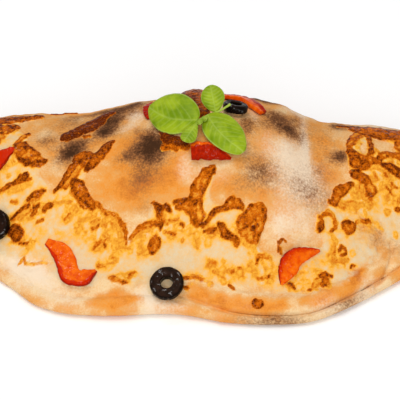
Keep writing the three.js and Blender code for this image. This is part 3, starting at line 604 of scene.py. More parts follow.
    (0.78, 0.8, [(71.4, 9.5, 3), (71.8, 13.4, 4.6), (73.6, 18.4, 5), (76, 23, 5), (79, 27, 5)]),
    (0.7, 0.6, [(73.4, 12.6, 2.4), (75.4, 17.6, 3), (78, 21.4, 3)]),
    (0.92, 1, [(74.6, 31, 4), (80, 27.4, 9), (86, 26.6, 12), (93, 26.4, 12.6), (100, 26, 12),
               (108, 26.6, 9), (116, 25, 6)]),
    (1, 0.6, [(68, 34, 3), (76, 33.6, 3.4), (86, 33, 3.4), (96, 32.4, 3.4), (108, 31.6, 3.4)]),
    (0.8, 0.8, [(97.6, 26, 5), (96.4, 20, 5), (97.4, 14, 5)]),
    (0.84, 0.8, [(80.4, 24.4, 2.8), (82, 19, 3), (83.2, 13.6, 3.2), (82.6, 9.4, 2.8), (80.6, 6.8, 2)]),
    (0.8, 0.8, [(85.6, 4.6, 3), (87, 7.6, 4), (89.8, 9.4, 4.4), (93, 9.6, 4.4), (96, 9.4, 4.4),
                (102, 10, 5)]),
    (0.62, 0.6, [(88.6, 9.6, 4), (93, 9.4, 4)]),
    (0.95, 0.9, [(87, 3.6, 2.6), (90, 3.2, 4), (93, 2.6, 4.4), (96.4, 2, 4.4)]),
    (0.8, 0.8, [(76, 5.6, 4.6), (80, 4.4, 5), (84, 4.4, 4)]),
    (0.58, 0.7, [(77, 3, 5), (83, 2.6, 6), (90, 1.6, 4)]),
    (0.66, 0.4, [(87.4, 0, 1.8), (89.6, -1.6, 1.8)]),
    (0.7, 0.4, [(92, -3, 1.6), (94.4, -4.6, 1.8)]),
    (0.6, 0.4, [(82.6, -1.6, 1.8), (84.6, -3.4, 1.6)]),
    (0.66, 0.5, [(88.6, -6, 1.4), (90.4, -7.4, 1.6)]),
    (0.78, 0.7, [(64.6, -36.6, 1.6), (65.6, -34.8, 1.8), (67.2, -35.6, 1.8), (67.4, -37.8, 1.8),
                 (65.8, -38.4, 1.6)]),
    (0.6, 0.5, [(62.6, -34, 1.6), (62, -37.6, 1.6), (61.6, -41.4, 2.6), (66, -41.6, 2.8), (68.6, -40, 2)]),
    (0.85, 0.4, [(70.4, -44, 0.9), (71, -42.8, 1), (72.6, -43, 0.9)]),
    (0.85, 0.9, [(104, 20, 3), (108, 16, 4), (112, 14, 3.2)]),
    (0.6, 0.8, [(104, 2, 5), (110, 5, 5), (117, 7, 4)]),
    (0.92, 0.9, [(106, -9, 4), (108, -6, 3.4)]),
    (0.55, 0.6, [(112, -4, 3), (118, 1, 3)]),
    (0.7, 0.7, [(100, -20, 3), (104, -18, 3)]),
    # the far end of the left wing
    (0.7, 0.9, [(-122, 12, 4), (-117, 17, 4), (-113, 20, 3)]),
    (0.92, 0.9, [(-118, 5, 4), (-115, 3, 4)]),
    (0.6, 0.7, [(-121, -4, 3), (-115, -8, 3.4), (-110, -9, 3)]),
    (0.85, 0.8, [(-110, -20, 3.4), (-107, -23, 2.6)]),
    # the crest, round the sprig
    (1.15, 1.2, [(-20.6, 6, 3), (-19, 2.4, 5), (-16, -1, 6), (-12.6, -3, 5), (-9, -4.4, 3)]),
    (0.8, 0.9, [(-19.6, -3, 3.4), (-14, -5.4, 3), (-8, -5.6, 2.4)]),
    (1.04, 2.7, [(-5.5, 42, 14), (-4, 33, 12.4), (-1.4, 21, 9), (-1, 13, 6)]),
    (0.6, 0.8, [(5, 39, 4), (13, 39.6, 5), (20, 36, 5), (25, 30, 4)]),
]
# Golden zones between them: soft oval patches, as for the dough.
GOLDEN = [
    (-68, -19, 12, 6, -10, 0.14), (-60, -24, 8, 5, -40, 0.4), (-49, -29, 7, 6, -20, 0.42),
    (-44, -42, 6, 7, 0, 0.36), (-58, -32, 7, 6, 0, 0.3), (-33, -39, 4, 5, 0, 0.4), (-17, -31, 8, 4, 0, 0.4),
    (-14, -37, 8, 4, 0, 0.26), (-39, -53, 8, 3.4, 0, 0.4), (-50, -45, 4, 3, 0, 0.34),
    (-99, 4, 6, 4, 0, 0.5), (-104, -3, 6, 6, 0, 0.3), (-100, 24, 8, 5, 0, 0.4), (-86, -18, 10, 5, 10, 0.42),
    (-86, 7, 8, 5, -30, 0.4), (-1, -37, 8, 5, 0, 0.4), (20, -37, 6, 5, 0, 0.5), (-4, -55, 6, 3, -20, 0.5),
    (8, -54, 8, 3, -20, 0.34), (16, -52, 7, 3, 0, 0.36), (24, -46, 5, 5, 0, 0.42), (30, -50, 7, 6, 0, 0.36),
    (31, -57, 8, 3, 0, 0.3), (46, -50, 9, 6, 30, 0.4), (46, -59, 6, 3, 0, 0.3), (63, -40, 5, 5, 0, 0.42),
    (73, -25, 9, 3.4, 10, 0.34), (70, -15, 8, 4, 0, 0.5), (79, -8, 9, 8, -20, 0.55),
    (86, 0, 14, 8, 0, 0.65), (98, 0, 12, 12, 0, 0.5), (90, 20, 16, 8, 0, 0.5), (90, -7, 8, 4, 0, 0.3),
    (76, 14, 5, 8, 0, 0.4), (92, 10, 7, 5, 0, 0.45), (100, 28, 18, 7, 0, 0.42), (-62, -6, 6, 7, -40, 0.38),
    (-115, 5, 10, 12, 0, 0.3), (110, 5, 12, 10, 0, 0.35), (-70, -32, 7, 3, -30, 0.32),
    (-81, -31, 10, 8, 0, 0.3), (84, -26, 16, 8, 0, 0.14), (3, -49, 6, 3, 0, 0.26), (68, -36, 5, 4, 0, 0.3),
    (-88, -30, 5, 3, -30, 0.3), (-82, -40, 8, 2.4, -18, 0.2), (-27, -43, 5, 3, 0, 0.26),
    (57, -44, 6, 4, 0, 0.24),
]
CELL = 0.56  # size of the cheese's grid
CHEESE_LENGTH, CHEESE_FRONT, CHEESE_REAR = 130.0, -70.0, 52.0  # the plan that it is worked out on
THINNEST = 0.9  # half the width of the thinnest browned line
SUNK = 0.45  # how far below the dough the cheese is kept, so that its edge is hidden
EDGE_DIVE = 0.45  # how steeply the pool goes under the dough past its outline
UNDERSIDE = -1.5  # lift of its hidden underside
CLIMB_HEIGHT, CLIMB_WIDTH = 0.8, 1.3  # how high it climbs the toppings, and over what width
BLISTERS = 1700  # places tried for the small blisters: the more golden a place, the likelier it gets one
BLISTER_SEED = 5
BLISTER_X, BLISTER_Y = (-125, 125), (-60, 35)  # the plan that they are scattered over
BLISTER_RADIUS, BLISTER_BROWN, BLISTER_CHANCE = (0.7, 1.9), (0.36, 0.66), (0.05, 1.0)
RIDGE_REACH = 9  # how far round a ridge its effect is worked out
# Strength, size and seed of each layer of swells: how outlines bend in x and in y, the pool's top, the
# golden zones, the dark spots of what has browned, and its pebbly top.
BEND_X = ((0.6, 4.0, 31), (0.45, 1.7, 32))
BEND_Y = ((0.6, 4.0, 33), (0.45, 1.7, 34))
POOL_SWELLS = ((0.26, 5, 35), (0.16, 2.3, 36))
GOLD_SWELLS = ((0.4, 3.4, 38), (0.5, 1.6, 43))
SPOT_SWELLS = ((0.55, 1.7, 41), (0.6, 1.0, 42))
PEBBLE_SWELLS = ((0.22, 1.6, 39), (0.14, 1.1, 40))


def small_blisters():
    """Small ring-shaped blisters scattered over the golden zones: x, y, radius and how brown."""
    rng = np.random.default_rng(BLISTER_SEED)
    for _ in range(BLISTERS):
        x, y = rng.uniform(*BLISTER_X), rng.uniform(*BLISTER_Y)
        radius, level = rng.uniform(*BLISTER_RADIUS), rng.uniform(*BLISTER_BROWN)
        if patches(x, y, GOLDEN) > rng.uniform(*BLISTER_CHANCE):
            yield x, y, radius, level


def pool_lift(x, y, bent_x, bent_y):
    """Lift of the plain melted cheese: thin at its outline, uneven, and gone from the gaps."""
    inside = inside_distance(bent_x, bent_y, CHEESE_POOL)
    by_seam = ease(y - FRONT_EDGE(x) - LIP_WIDTH(x), *SEAM_DEPTHS)
    pool = POOL_THICKNESS * ease(inside, POOL_START, POOL_FULL + POOL_FULL_BY_SEAM * by_seam)
    pool = pool - EDGE_DIVE * np.clip(0.4 - inside, 0, 4)
    return layered_swells(x, y, POOL_SWELLS, pool) - patches(bent_x, bent_y, CHEESE_GAPS_AND_SHADE)


def add_ridges(x, y, bent_x, bent_y, lift, brown):
    """Raises and browns the ridges in place, and gives how far off the nearest one is at each point."""
    near = np.full(x.shape, np.inf)
    for level, height, path in RIDGES:
        xs, ys, widths = zip(*path)
        reach = RIDGE_REACH + max(widths)
        i = (x > min(xs) - reach) & (x < max(xs) + reach) & (y > min(ys) - reach) & (y < max(ys) + reach)
        distance, half = stroke_distance(bent_x[i], bent_y[i], path)
        half = np.maximum(half, THINNEST)
        depth = np.clip(1 - (distance / half) ** 2, 0, 1)
        ridge = np.where(distance < half, 0.1 + height * depth ** 0.4, -0.5 * (distance - half))
        lift[i] = np.maximum(lift[i], ridge + 0.6 * np.clip(lift[i], 0, 1) * (distance < half + 0.5))
        rim = np.exp(-(((half - distance - 0.6) / 0.8) ** 2))
        inner = level * (0.85 + 0.2 * rim)
        brown[i] = np.maximum(brown[i], inner * ease(half - distance, -0.7, 0.5))
        near[i] = np.minimum(near[i], (distance - half) / (0.4 + level))
    return near


def add_blisters(x, y, bent_x, bent_y, lift, brown):
    """Raises and browns the small blisters in place, each darkest in a ring."""
    for cx, cy, radius, level in small_blisters():
        i = np.hypot(x - cx, y - cy) < radius + 2
        distance = np.hypot(bent_x[i] - cx, bent_y[i] - cy)
        ring = np.exp(-(((distance - radius) / 0.6) ** 2))
        lift[i] += 0.4 * np.exp(-((distance / radius) ** 2)) * (lift[i] > 0)
        brown[i] = np.maximum(brown[i], level * (0.56 * ease(radius - distance, -0.9, 0.4) + 0.5 * ring))


def cheese_fields(x, y):
    """The cheese's lift over the dough, how brown, how pebbled and how golden it is, at each plan point."""
    bent = layered_swells(x, y, BEND_X, x), layered_swells(x, y, BEND_Y, y)
    lift = pool_lift(x, y, *bent)
    brown = np.zeros(x.shape)
    near = add_ridges(x, y, *bent, lift, brown)
    add_blisters(x, y, *bent, lift, brown)
    gold = 0.06 + 0.9 * patches(x, y, GOLDEN) + 0.36 * np.exp(-np.clip(near, 0, 50) / 1.5)
    gold = np.minimum(gold, 0.56) * layered_swells(x, y, GOLD_SWELLS, 0.84)
    gold = gold * ease(brown, 0.75, 0.5)
    brown = np.maximum(brown, 0.72 * gold)
    brown = brown - 0.1 * np.exp(-(((brown - 0.56) / 0.12) ** 2))  # what is half browned stays golden
    brown = brown + 0.24 * layered_swells(x, y, SPOT_SWELLS) * ease(brown, 0.4, 0.66)
    pebbled = ease(brown, 0.4, 0.8)
    lift = lift + pebbled * layered_swells(x, y, PEBBLE_SWELLS)
    return lift, np.clip(brown, 0, 1), pebbled, np.clip(gold, 0, 1)


# ---------------------------------------------------------------- the toppings

# Strips of pepper: (x, y, width) along each; the side that its skin is on (1 is to the left of its
# run, -1 to the right, 0 all over), where across the strip the skin starts and how softly, and
# how far its whole skin takes the deeper rim colour.
PEPPERS = {
    "pepper_far_left": (
        [(-94, 10.5, 2), (-98, 8.5, 6), (-103, 5.5, 8), (-108, 1.5, 8), (-112, -4, 5)], 0, 0, 0.2, 0.2,
    ),
    "pepper_front_left": (
        [(-76.4, -32, 3), (-72.8, -34.8, 6), (-68.8, -38.5, 8), (-66.4, -43.2, 9.5), (-64.6, -49, 9.5),
         (-60, -51.8, 8.3), (-56, -51, 7.5), (-52, -48.2, 2)], -1, 0.58, 0.2, 0,
    ),
    "pepper_middle": (
        [(-6.4, -7.9, 6.5), (-2, -7.7, 7), (4, -8.6, 6.4), (8.5, -10, 4),
         (12.5, -11.4, 1)], -1, -0.62, 0.2, 0.8,
    ),
    "pepper_front_right": (
        [(54.8, -39.2, 1), (48.8, -41.6, 4.5), (43, -44.4, 7.6), (39.8, -48, 9), (38, -51.2, 7),
         (36.2, -56, 1.2)], -1, 0.5, 0.7, 0,
    ),
    "pepper_crest_right": (
        [(6, 35, 4), (12, 35.5, 4.4), (17, 34, 5), (21, 30.5, 6), (24.2, 26, 6.5),
         (28, 21.5, 4)], 1, 0, 0.4, 0.8,
    ),
    "pepper_crest_left": ([(-27.2, 18.5, 2.6), (-28, 22, 4.2), (-27.6, 27, 5), (-25, 31, 4)], 0, 0, 0.2, 0.8),
}
PEPPER_THICKNESS = 3.0
PEPPER_LIFT = 0.7
PEPPER_STEPS, PEPPER_AROUND = 72, 40  # the mesh's steps along a strip and round it

# Rings of olive: the plan point below each, radius, lift at the middle, and lean of its axis.
OLIVES = {
    "olive_left": ((-102.1, -18.4), 7.9, 1.5, (0, 0.1)),
    "olive_front": ((-18, -56.4), 8.1, 1.8, (0, 0.1)),
    "olive_crest": ((14.6, 18.4), 6.2, 0.4, (0, 0.25)),
}
OLIVE_HOLE = 3.0
OLIVE_THICKNESS = 4.2
OLIVE_CORNER, OLIVE_LIP = 1.3, 0.6  # how round the skin's corners and the hole's edge are
OLIVE_SIDES = 96

# Basil leaves: base, tip, width, widest share of the length, arch, cup, face, and how far towards
# one side the midrib runs.
BASIL_LEAVES = [
    ((-3.2, 3, 64.8), (-27.6, 18.9, 60.6), 21.5, 0.49, 2.2, 2, (-0.2, -0.55, 0.8), -0.3),
    ((1.2, 6.2, 65.6), (18.4, -12, 56.6), 17.4, 0.43, 2.4, 2, (0.15, -0.5, 0.8), 0.3),
    ((5.2, 8, 65.9), (2.6, 17, 75.6), 11.6, 0.55, 0.8, 1.2, (0, -0.8, 0.6), 0),
    ((-3.2, 2.4, 64.4), (-10, -8.1, 60.2), 8, 0.7, 0.6, 1, (-0.2, -0.5, 0.8), 0),
    # the bud of two young leaves where the others meet
    ((-2.6, 3.6, 64.9), (-2.2, -1.4, 65.4), 3.4, 0.5, 0.7, 0.7, (-0.2, -0.6, 0.8), 0),
    ((-2, 3.8, 65), (0.9, 1.2, 67.2), 3.2, 0.5, 0.5, 0.6, (0.2, -0.6, 0.7), 0),
]
LEAF_THICKNESS = 0.8
LEAF_STEPS, LEAF_HALF_STEPS = 64, 44  # the mesh's steps along a leaf and across each side of it
BRANCHES = 7  # side veins on either side of the midrib
PEPPER_SEED, OLIVE_SEED, LEAF_SEED = 150, 240, 100  # of the first piece's swells; the next ones follow on
STEM_PATH = [
    (-3.9, 1.6, 64.1), (-1.6, 4, 64.7), (1.4, 6.2, 65.2), (5.4, 8, 65.6), (9, 9.4, 66.9),
    (12.4, 10.5, 68.8),
]
STEM_RADIUS = 0.7
STEM_STEPS, STEM_AROUND = 40, 20


# ---------------------------------------------------------------- meshes

BACK_SAMPLES = 1185  # places along the back where its widest point is looked for
CORNER_ROUNDS = 4  # at most so many rounds of filling, as filling one corner can make another


def frame_shift():
    """How far the frame lies behind the plan: the fold's widest point is the crust's back."""
    widest = BACK_EDGE(np.linspace(-HALF_LENGTH, HALF_LENGTH, BACK_SAMPLES)).max()
    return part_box("crust")[1].y / MM - widest


SHIFT = np.array([0, frame_shift(), 0])


def add_piece(name, points, faces, marks, material, slot, replaced):
    """Makes a smooth mesh piece from plan points in millimetres, and fixes it to the frame."""
    mesh = bpy.data.meshes.new(name)
    places = (np.asarray(points) + SHIFT) * MM
    mesh.from_pydata(places.tolist(), [], [list(map(int, face)) for face in faces])
    for label, values in marks.items():
        layer = mesh.attributes.new(label, "FLOAT", "POINT")
        layer.data.foreach_set("value", np.asarray(values, np.float32).ravel())
    mesh.materials.append(material)
    mesh.shade_smooth()
    mesh.validate()
    piece = bpy.data.objects.new(name, mesh)
    bpy.context.scene.collection.objects.link(piece)
    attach(piece, "root")
    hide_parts(replaced)


def grid_quads(number, rows, columns):
    """The four-sided faces of a grid whose point in row i and column k has the number number(i, k)."""
    i, k = np.meshgrid(np.arange(rows), np.arange(columns), indexing="ij")
    corners = [number(i, k), number(i + 1, k), number(i + 1, k + 1), number(i, k + 1)]
    return np.stack(corners, -1).reshape(-1, 4).tolist()


def loops_mesh(loops, first, last):
    """Points and faces of a closed skin over rows of loops, (rows, points, 3), with two end points."""
    rows, size, _ = loops.shape
    points = np.concatenate([[first], loops.reshape(-1, 3), [last]])
    end = len(points) - 1

    def number(row, k):
        return 1 + row * size + (k % size)

    start_cap = [(0, number(0, k), number(0, k + 1)) for k in range(size)]
    end_cap = [(end, number(rows - 1, k + 1), number(rows - 1, k)) for k in range(size)]
    return points, [*grid_quads(number, rows - 1, size), *start_cap, *end_cap]


def loop_values(values, first, last):
    """Values on the rows of loops, with those of the two end points."""
    return np.concatenate([[first], np.asarray(values).ravel(), [last]])


def crust_mesh(columns):
    """The dough's skin: its plain shape with relief, and how each point of it baked."""
    s = np.arange(1, columns) * 2 / columns - 1
    x = HALF_LENGTH * ((1 - TIP_PACKING) * s + TIP_PACKING * np.sin(s * np.pi / 2))[:, None]
    depth, height, upper = [], [], []
    for stretch, steps in STRETCHES.items():
        t = (np.arange(steps) / steps)[None, :]
        y, z = section_points(x, stretch, t ** FRONT_PACKING if stretch == "front" else t)
        depth.append(y)
        height.append(z)
        upper.append(np.full(y.shape, float(stretch in ("front", "fold", "lip"))))
    y, z, upper = (np.concatenate(part, 1) for part in (depth, height, upper))
    plain = np.stack([np.broadcast_to(x, y.shape), y, z], -1)
    along = np.gradient(plain, axis=0)
    around = np.roll(plain, -1, axis=1) - np.roll(plain, 1, axis=1)
    normal = np.cross(along, around)
    normal /= np.linalg.norm(normal, axis=-1, keepdims=True) + TINY
    px, py, pz = plain[..., 0], plain[..., 1], plain[..., 2]
    relief = dough_relief(px, py, pz, upper) * ease(tip_share(px), 0.1, 0.5)  # none at the very tips
    skin = plain + normal * relief[..., None]
    marks = {
        name: loop_values(values, 0.5, 0.5)
        for name, values in zip(("toast", "scorch", "flour"), dough_bake(px, py, pz))
    }
    points, faces = loops_mesh(skin, *[(side * HALF_LENGTH, TIP_Y, TIP_Z) for side in (-1, 1)])
    return points, faces, marks


def close_corners(kept):
    """Fills cells so that no two kept cells of a grid touch at a corner only."""
    for _ in range(CORNER_ROUNDS):
        a, b, c, d = kept[:-1, :-1], kept[1:, :-1], kept[:-1, 1:], kept[1:, 1:]
        corner = (a & d & ~b & ~c) | (b & c & ~a & ~d)
        if not corner.any():
            return kept
        for part in (a, b, c, d):
            part |= corner
    return kept


def trimmed_slab(top, under, kept):
    """A closed slab over the kept cells of a grid: its top, its underside and the walls between."""
    columns, rows, _ = top.shape
    number = np.arange(columns * rows).reshape(columns, rows)
    i, j = np.nonzero(kept)
    a, b, c, d = number[i, j], number[i + 1, j], number[i + 1, j + 1], number[i, j + 1]
    upper = np.stack([a, b, c, d], -1)
    lower = np.stack([a, d, c, b], -1) + columns * rows
    wide = np.pad(kept, 1)
    walls = []
    for di, dj, p, q in ((0, -1, a, b), (1, 0, b, c), (0, 1, c, d), (-1, 0, d, a)):
        edge = ~wide[i + 1 + di, j + 1 + dj]
        walls.append(np.stack([q, p, p + columns * rows, q + columns * rows], -1)[edge])
    faces = np.concatenate([upper, lower, *walls])
    used, packed = np.unique(faces, return_inverse=True)
    points = np.concatenate([top.reshape(-1, 3), under.reshape(-1, 3)])[used]
    return points, packed.reshape(faces.shape), used % (columns * rows)


def topping_distance(x, y):
    """Distance from each plan point to the nearest edge of a pepper strip or an olive."""
    best = np.full(x.shape, np.inf)
    for path, *_ in PEPPERS.values():
        distance, half = stroke_distance(x, y, path)
        best = np.minimum(best, distance - half)
    for (cx, cy), radius, _, _ in OLIVES.values():
        best = np.minimum(best, np.abs(np.hypot(x - cx, y - cy) - radius + 2) - 2)
    return best


def cheese_mesh(cell):
    """The melted cheese: a slab whose outline is where its lift crosses the dough's skin."""
    across = np.arange(-CHEESE_LENGTH, CHEESE_LENGTH + cell, cell)
    deep = np.arange(CHEESE_FRONT, CHEESE_REAR + cell, cell)
    x, y = np.meshgrid(across, deep, indexing="ij")
    lift, brown, pebbled, gold = cheese_fields(x, y)
    climbed = np.exp(-np.maximum(topping_distance(x, y), 0) / CLIMB_WIDTH) * (lift > 0)
    lift = lift + CLIMB_HEIGHT * climbed
    kept = lift > -SUNK
    cells = close_corners(kept[:-1, :-1] | kept[1:, :-1] | kept[:-1, 1:] | kept[1:, 1:])
    height = top_height(x, y)
    relief = dough_relief(x, y, height, 1.0)
    top = over_top(x, y, relief + np.maximum(lift, -2 * SUNK))
    under = over_top(x, y, relief + UNDERSIDE)
    points, faces, used = trimmed_slab(top, under, cells)
    toast, scorch, flour = dough_bake(x, y, height)
    marks = {
        "brown": brown, "pebbled": pebbled, "gold": gold, "thin": np.clip(lift / POOL_THICKNESS, 0, 1),
        "toast": toast, "scorch": scorch, "flour": flour,
    }
    return points, faces, {name: values.ravel()[used] for name, values in marks.items()}


def path_through(knots, steps):
    """Points and directions along a smooth line through the knots."""
    knots = np.array(knots, float)
    run = np.arange(len(knots))
    curves = [smooth_curve(np.stack([run, knots[:, i]], -1)) for i in range(knots.shape[1])]
    t = np.linspace(0, len(knots) - 1, steps)
    points = np.stack([curve(t) for curve in curves], -1)
    return points, np.gradient(points, axis=0)


def boxy(wave, power):
    """A sine wave squared off by a power below 1."""
    return np.sign(wave) * np.abs(wave) ** power


def pepper_mesh(path, side, start, blend, skin_darkening, seed):
    """A strip of roasted pepper, bent to the dough: firm skin on one side, soft flesh on the other."""
    line, along = path_through(path, PEPPER_STEPS)
    along = along[:, :2] / np.linalg.norm(along[:, :2], axis=1, keepdims=True)
    run = np.arange(PEPPER_STEPS)[:, None] * 0.5  # the place along the strip, for the swells
    waver = layered_swells(run, 0, ((0.1, 3.4, seed + 3), (0.06, 1.2, seed + 4)), 1)
    width = np.maximum(line[:, 2:], 0.8) * waver
    angle = (np.arange(PEPPER_AROUND) * 2 * np.pi / PEPPER_AROUND)[None, :]
    # A rounded box section: its sides bow out and its top sags a little between its edges.
    across = -boxy(np.cos(angle), 0.55)
    rise = 0.5 + 0.5 * boxy(np.sin(angle), 0.6)
    thick = PEPPER_THICKNESS * np.minimum(1, 0.4 + width / 10)
    sag = 0.16 * thick * (1 - across ** 2) * (rise > 0.6)
    lift = PEPPER_LIFT + thick * rise - sag
    shift = width / 2 * across
    x = line[:, :1] - along[:, 1:] * shift
    y = line[:, 1:2] + along[:, :1] * shift
    dimples = 0.22 * swells(run, across * 3, 2.5, seed) + 0.1 * swells(run, across * 4, 0.9, seed + 1)
    loops = over_top(x, y, lift + (rise > 0.3) * dimples)
    skin_side = across * (side or 1)
    turned = skin_side + 0.12 * swells(run, across * 2, 3, seed + 2)
    skin = np.ones_like(x) if side == 0 else ease(turned, start - blend, start + blend)
    skin = np.maximum(skin, ease(0.55 - rise, 0, 0.2) * (skin_side > 0))
    rim = np.broadcast_to(np.minimum(1, ease(np.abs(across), 0.75, 0.98) + skin_darkening), x.shape)
    points, faces = loops_mesh(loops, loops[0].mean(0), loops[-1].mean(0))
    return points, faces, {"skin": loop_values(skin, 0.2, 0.2), "rim": loop_values(rim, 0.5, 0.5)}


def olive_profile(radius):
    """Half the ring's section, (from the axis, height): the foot, the skin, the cut face and the hole."""
    inset = radius - OLIVE_CORNER
    bend = np.linspace(-np.pi / 2, 0, 9)
    low, high = (
        [(inset + OLIVE_CORNER * np.cos(a), middle + OLIVE_CORNER * np.sin(a)) for a in bend + turned]
        for middle, turned in ((OLIVE_CORNER, 0), (OLIVE_THICKNESS - OLIVE_CORNER, np.pi / 2))
    )
    face_width = inset - OLIVE_HOLE - OLIVE_LIP
    face = [(inset - face_width * k / 8, OLIVE_THICKNESS - 0.12) for k in range(1, 9)]
    lip = [
        (OLIVE_HOLE + OLIVE_LIP - OLIVE_LIP * np.sin(a), OLIVE_THICKNESS - 0.72 + OLIVE_LIP * np.cos(a))
        for a in np.linspace(0.3, 1.5, 5)
    ]
    wall = [(OLIVE_HOLE, OLIVE_THICKNESS * (1 - k / 6) - 0.2) for k in range(1, 6)]
    return np.array([(OLIVE_HOLE, 0), ((OLIVE_HOLE + radius) / 2, 0), *low, *high, *face, *lip, *wall])


def olive_mesh(at, radius, lift, lean, seed):
    """A ring cut from an olive: rounded skin outside, a cut face on top and a hole through it."""
    profile = olive_profile(radius)
    outward, level = profile[None, :, 0], profile[None, :, 1]
    angle = (np.arange(OLIVE_SIDES) * 2 * np.pi / OLIVE_SIDES)[:, None]
    ring_x, ring_y = 7 * np.cos(angle), 7 * np.sin(angle)
    r = outward * layered_swells(ring_x, ring_y, ((0.03, 5, seed), (0.012, 1.6, seed + 1)), 1)
    z = level + 0.16 * swells(ring_x + r, ring_y, 3, seed + 2) * (level > 1)
    local = np.stack([r * np.cos(angle), r * np.sin(angle), z], -1)
    x, y = at
    axis = Vector(top_normal(np.float64(x), np.float64(y))) + Vector((*lean, 0))
    turn = np.array(Vector((0, 0, 1)).rotation_difference(axis.normalized()).to_matrix())
    points = local.reshape(-1, 3) @ turn.T + over_top(x, y, lift)
    count = len(profile)

    def number(i, k):
        return (i % OLIVE_SIDES) * count + (k % count)

    cut = (profile[:, 1] > OLIVE_THICKNESS - 0.9) & (profile[:, 0] < radius - 0.5)
    return points, grid_quads(number, OLIVE_SIDES, count), {"cut": np.tile(cut, OLIVE_SIDES)}


def leaf_veins(t, r, off_rib, length):
    """How much of a vein each point of a leaf is: the midrib, and curved branches on either side."""
    branches = 0 * off_rib
    for k in range(BRANCHES):
        for way in (-1, 1):
            start = 0.08 + 0.125 * k + (0.03 if way > 0 else 0)
            bend = start + 0.02 * np.abs(off_rib) + 0.0022 * off_rib ** 2
            distance = (t - bend) * length * 0.8
            branch = np.exp(-((distance / 0.32) ** 2)) * (off_rib * way > 0)
            branches = np.maximum(branches, branch * ease(np.abs(r), 1.02, 0.6))
    return np.maximum(np.exp(-((off_rib / 0.45) ** 2)), 0.7 * branches)


def leaf_mesh(base, tip, width, widest, arch, cup, face, rib, seed):
    """A basil leaf: bowed along its midrib, puffed up between its veins, thin at its edge."""
    base, tip = np.array(base, float), np.array(tip, float)
    along = tip - base
    length = np.linalg.norm(along)
    side = np.cross(along / length, face)
    side /= np.linalg.norm(side)
    up = np.cross(side, along / length)
    t = (np.arange(1, LEAF_STEPS) / LEAF_STEPS)[:, None]
    over = 1 - 2 * np.arange(LEAF_HALF_STEPS) / LEAF_HALF_STEPS
    r = np.concatenate([over, -over])[None, :]  # from one edge to the other on top, and back below
    facing = np.repeat([1.0, -1.0], LEAF_HALF_STEPS)[None, :]
    fullness = math.log(0.5) / math.log(widest)
    half = width / 2 * np.sqrt(np.sin(np.pi * t ** fullness))
    off_rib = (r - rib * np.sqrt(np.sin(np.pi * t))) * half
    vein = leaf_veins(t, r, off_rib, length)
    thick = facing * LEAF_THICKNESS / 2 * np.sqrt(np.maximum(0, 1 - r * r))
    puff = 0.35 * (1 - vein) * np.minimum(1, 3 * (1 - np.abs(r)))
    puff = puff + 0.25 * swells(t * length, off_rib, 3.2, seed)
    wave = 0.5 * np.abs(r) ** 3 * swells(t * length, r * 2, 4.5, seed + 1)
    bow = 4 * arch * t * (1 - t) - cup * r * r * (2 * half / width) + thick + puff - 0.2 + wave
    loops = base + along * t[..., None] + side * (half * r)[..., None] + up * bow[..., None]
    # rim marks each leaf's edge, where a painted highlight goes.
    rim = np.broadcast_to(ease(np.abs(r), 0.92, 0.985), bow.shape)
    under = np.broadcast_to(facing < 0, bow.shape)
    points, faces = loops_mesh(loops, base, tip)
    ends = {"vein": (vein, 1, 0), "rim": (rim, 0, 1), "under": (under, 0, 0)}
    return points, faces, {name: loop_values(*values) for name, values in ends.items()}


def stem_mesh():
    """The sprig's stem, from the leaves to its cut end, swollen where the leaves join it."""
    line, along = path_through(STEM_PATH, STEM_STEPS)
    along /= np.linalg.norm(along, axis=1, keepdims=True)
    side = np.cross(along, (0, 0, 1))
    side /= np.linalg.norm(side, axis=1, keepdims=True)
    up = np.cross(side, along)
    t = np.linspace(0, 1, STEM_STEPS)
    joint, cut_end = 0.5 * np.exp(-((t - 0.1) / 0.1) ** 2), 0.15 * np.exp(-((t - 1) / 0.05) ** 2)
    angle = (np.arange(STEM_AROUND) * 2 * np.pi / STEM_AROUND)[None, :, None]
    ridged = 1 + 0.1 * np.cos(4 * angle)
    r = (STEM_RADIUS * (0.8 + joint + cut_end))[:, None, None] * ridged
    loops = line[:, None] + r * (side[:, None] * np.cos(angle) + up[:, None] * np.sin(angle))
    points, faces = loops_mesh(loops, line[0], line[-1])
    count = len(points)
    # The stem is tinted all over by the veins' paler colour and by a share of the painted rim highlight.
    return points, faces, {"vein": np.full(count, 0.7), "rim": np.full(count, 0.3), "under": np.zeros(count)}


def joined(parts):
    """Several meshes as one: points, faces and marks."""
    points, faces, marks = [], [], {}
    for part_points, part_faces, part_marks in parts:
        offset = sum(len(p) for p in points)
        points.append(np.asarray(part_points))
        faces += [[int(v) + offset for v in face] for face in part_faces]
        for name, values in part_marks.items():
            marks.setdefault(name, []).append(values)
    return np.concatenate(points), faces, {name: np.concatenate(values) for name, values in marks.items()}


# ---------------------------------------------------------------- materials


def linear(red, green, blue):
    """A display colour of 0 to 255 as the linear colour that Blender's sockets hold."""
    shares = [value / 255 for value in (red, green, blue)]
    return tuple(v / 12.92 if v <= 0.04045 else ((v + 0.055) / 1.055) ** 2.4 for v in shares)


def feed(tree, socket, value):
    """Gives an input socket a number, a colour or another socket's value."""
    if isinstance(value, bpy.types.NodeSocket):
        tree.links.new(value, socket)
    elif socket.type == "RGBA":
        socket.default_value = (*value[:3], 1.0)
    else:
        socket.default_value = value


def node(tree, kind, inputs=None, **settings):
    """Adds a node. settings are its own properties; inputs are numbers, colours or other sockets."""
    made = tree.nodes.new(kind)
    for name, value in settings.items():
        setattr(made, name, value)
    for socket, value in (inputs or {}).items():
        feed(tree, made.inputs[socket], value)
    return made


def math_node(tree, operation, *values):
    """One operation on numbers and sockets."""
    return node(tree, "ShaderNodeMath", dict(enumerate(values)), operation=operation).outputs[0]


def total(tree, *values):
    """The sum of numbers and sockets."""
    result = values[0]
    for value in values[1:]:
        result = math_node(tree, "ADD", result, value)
    return result


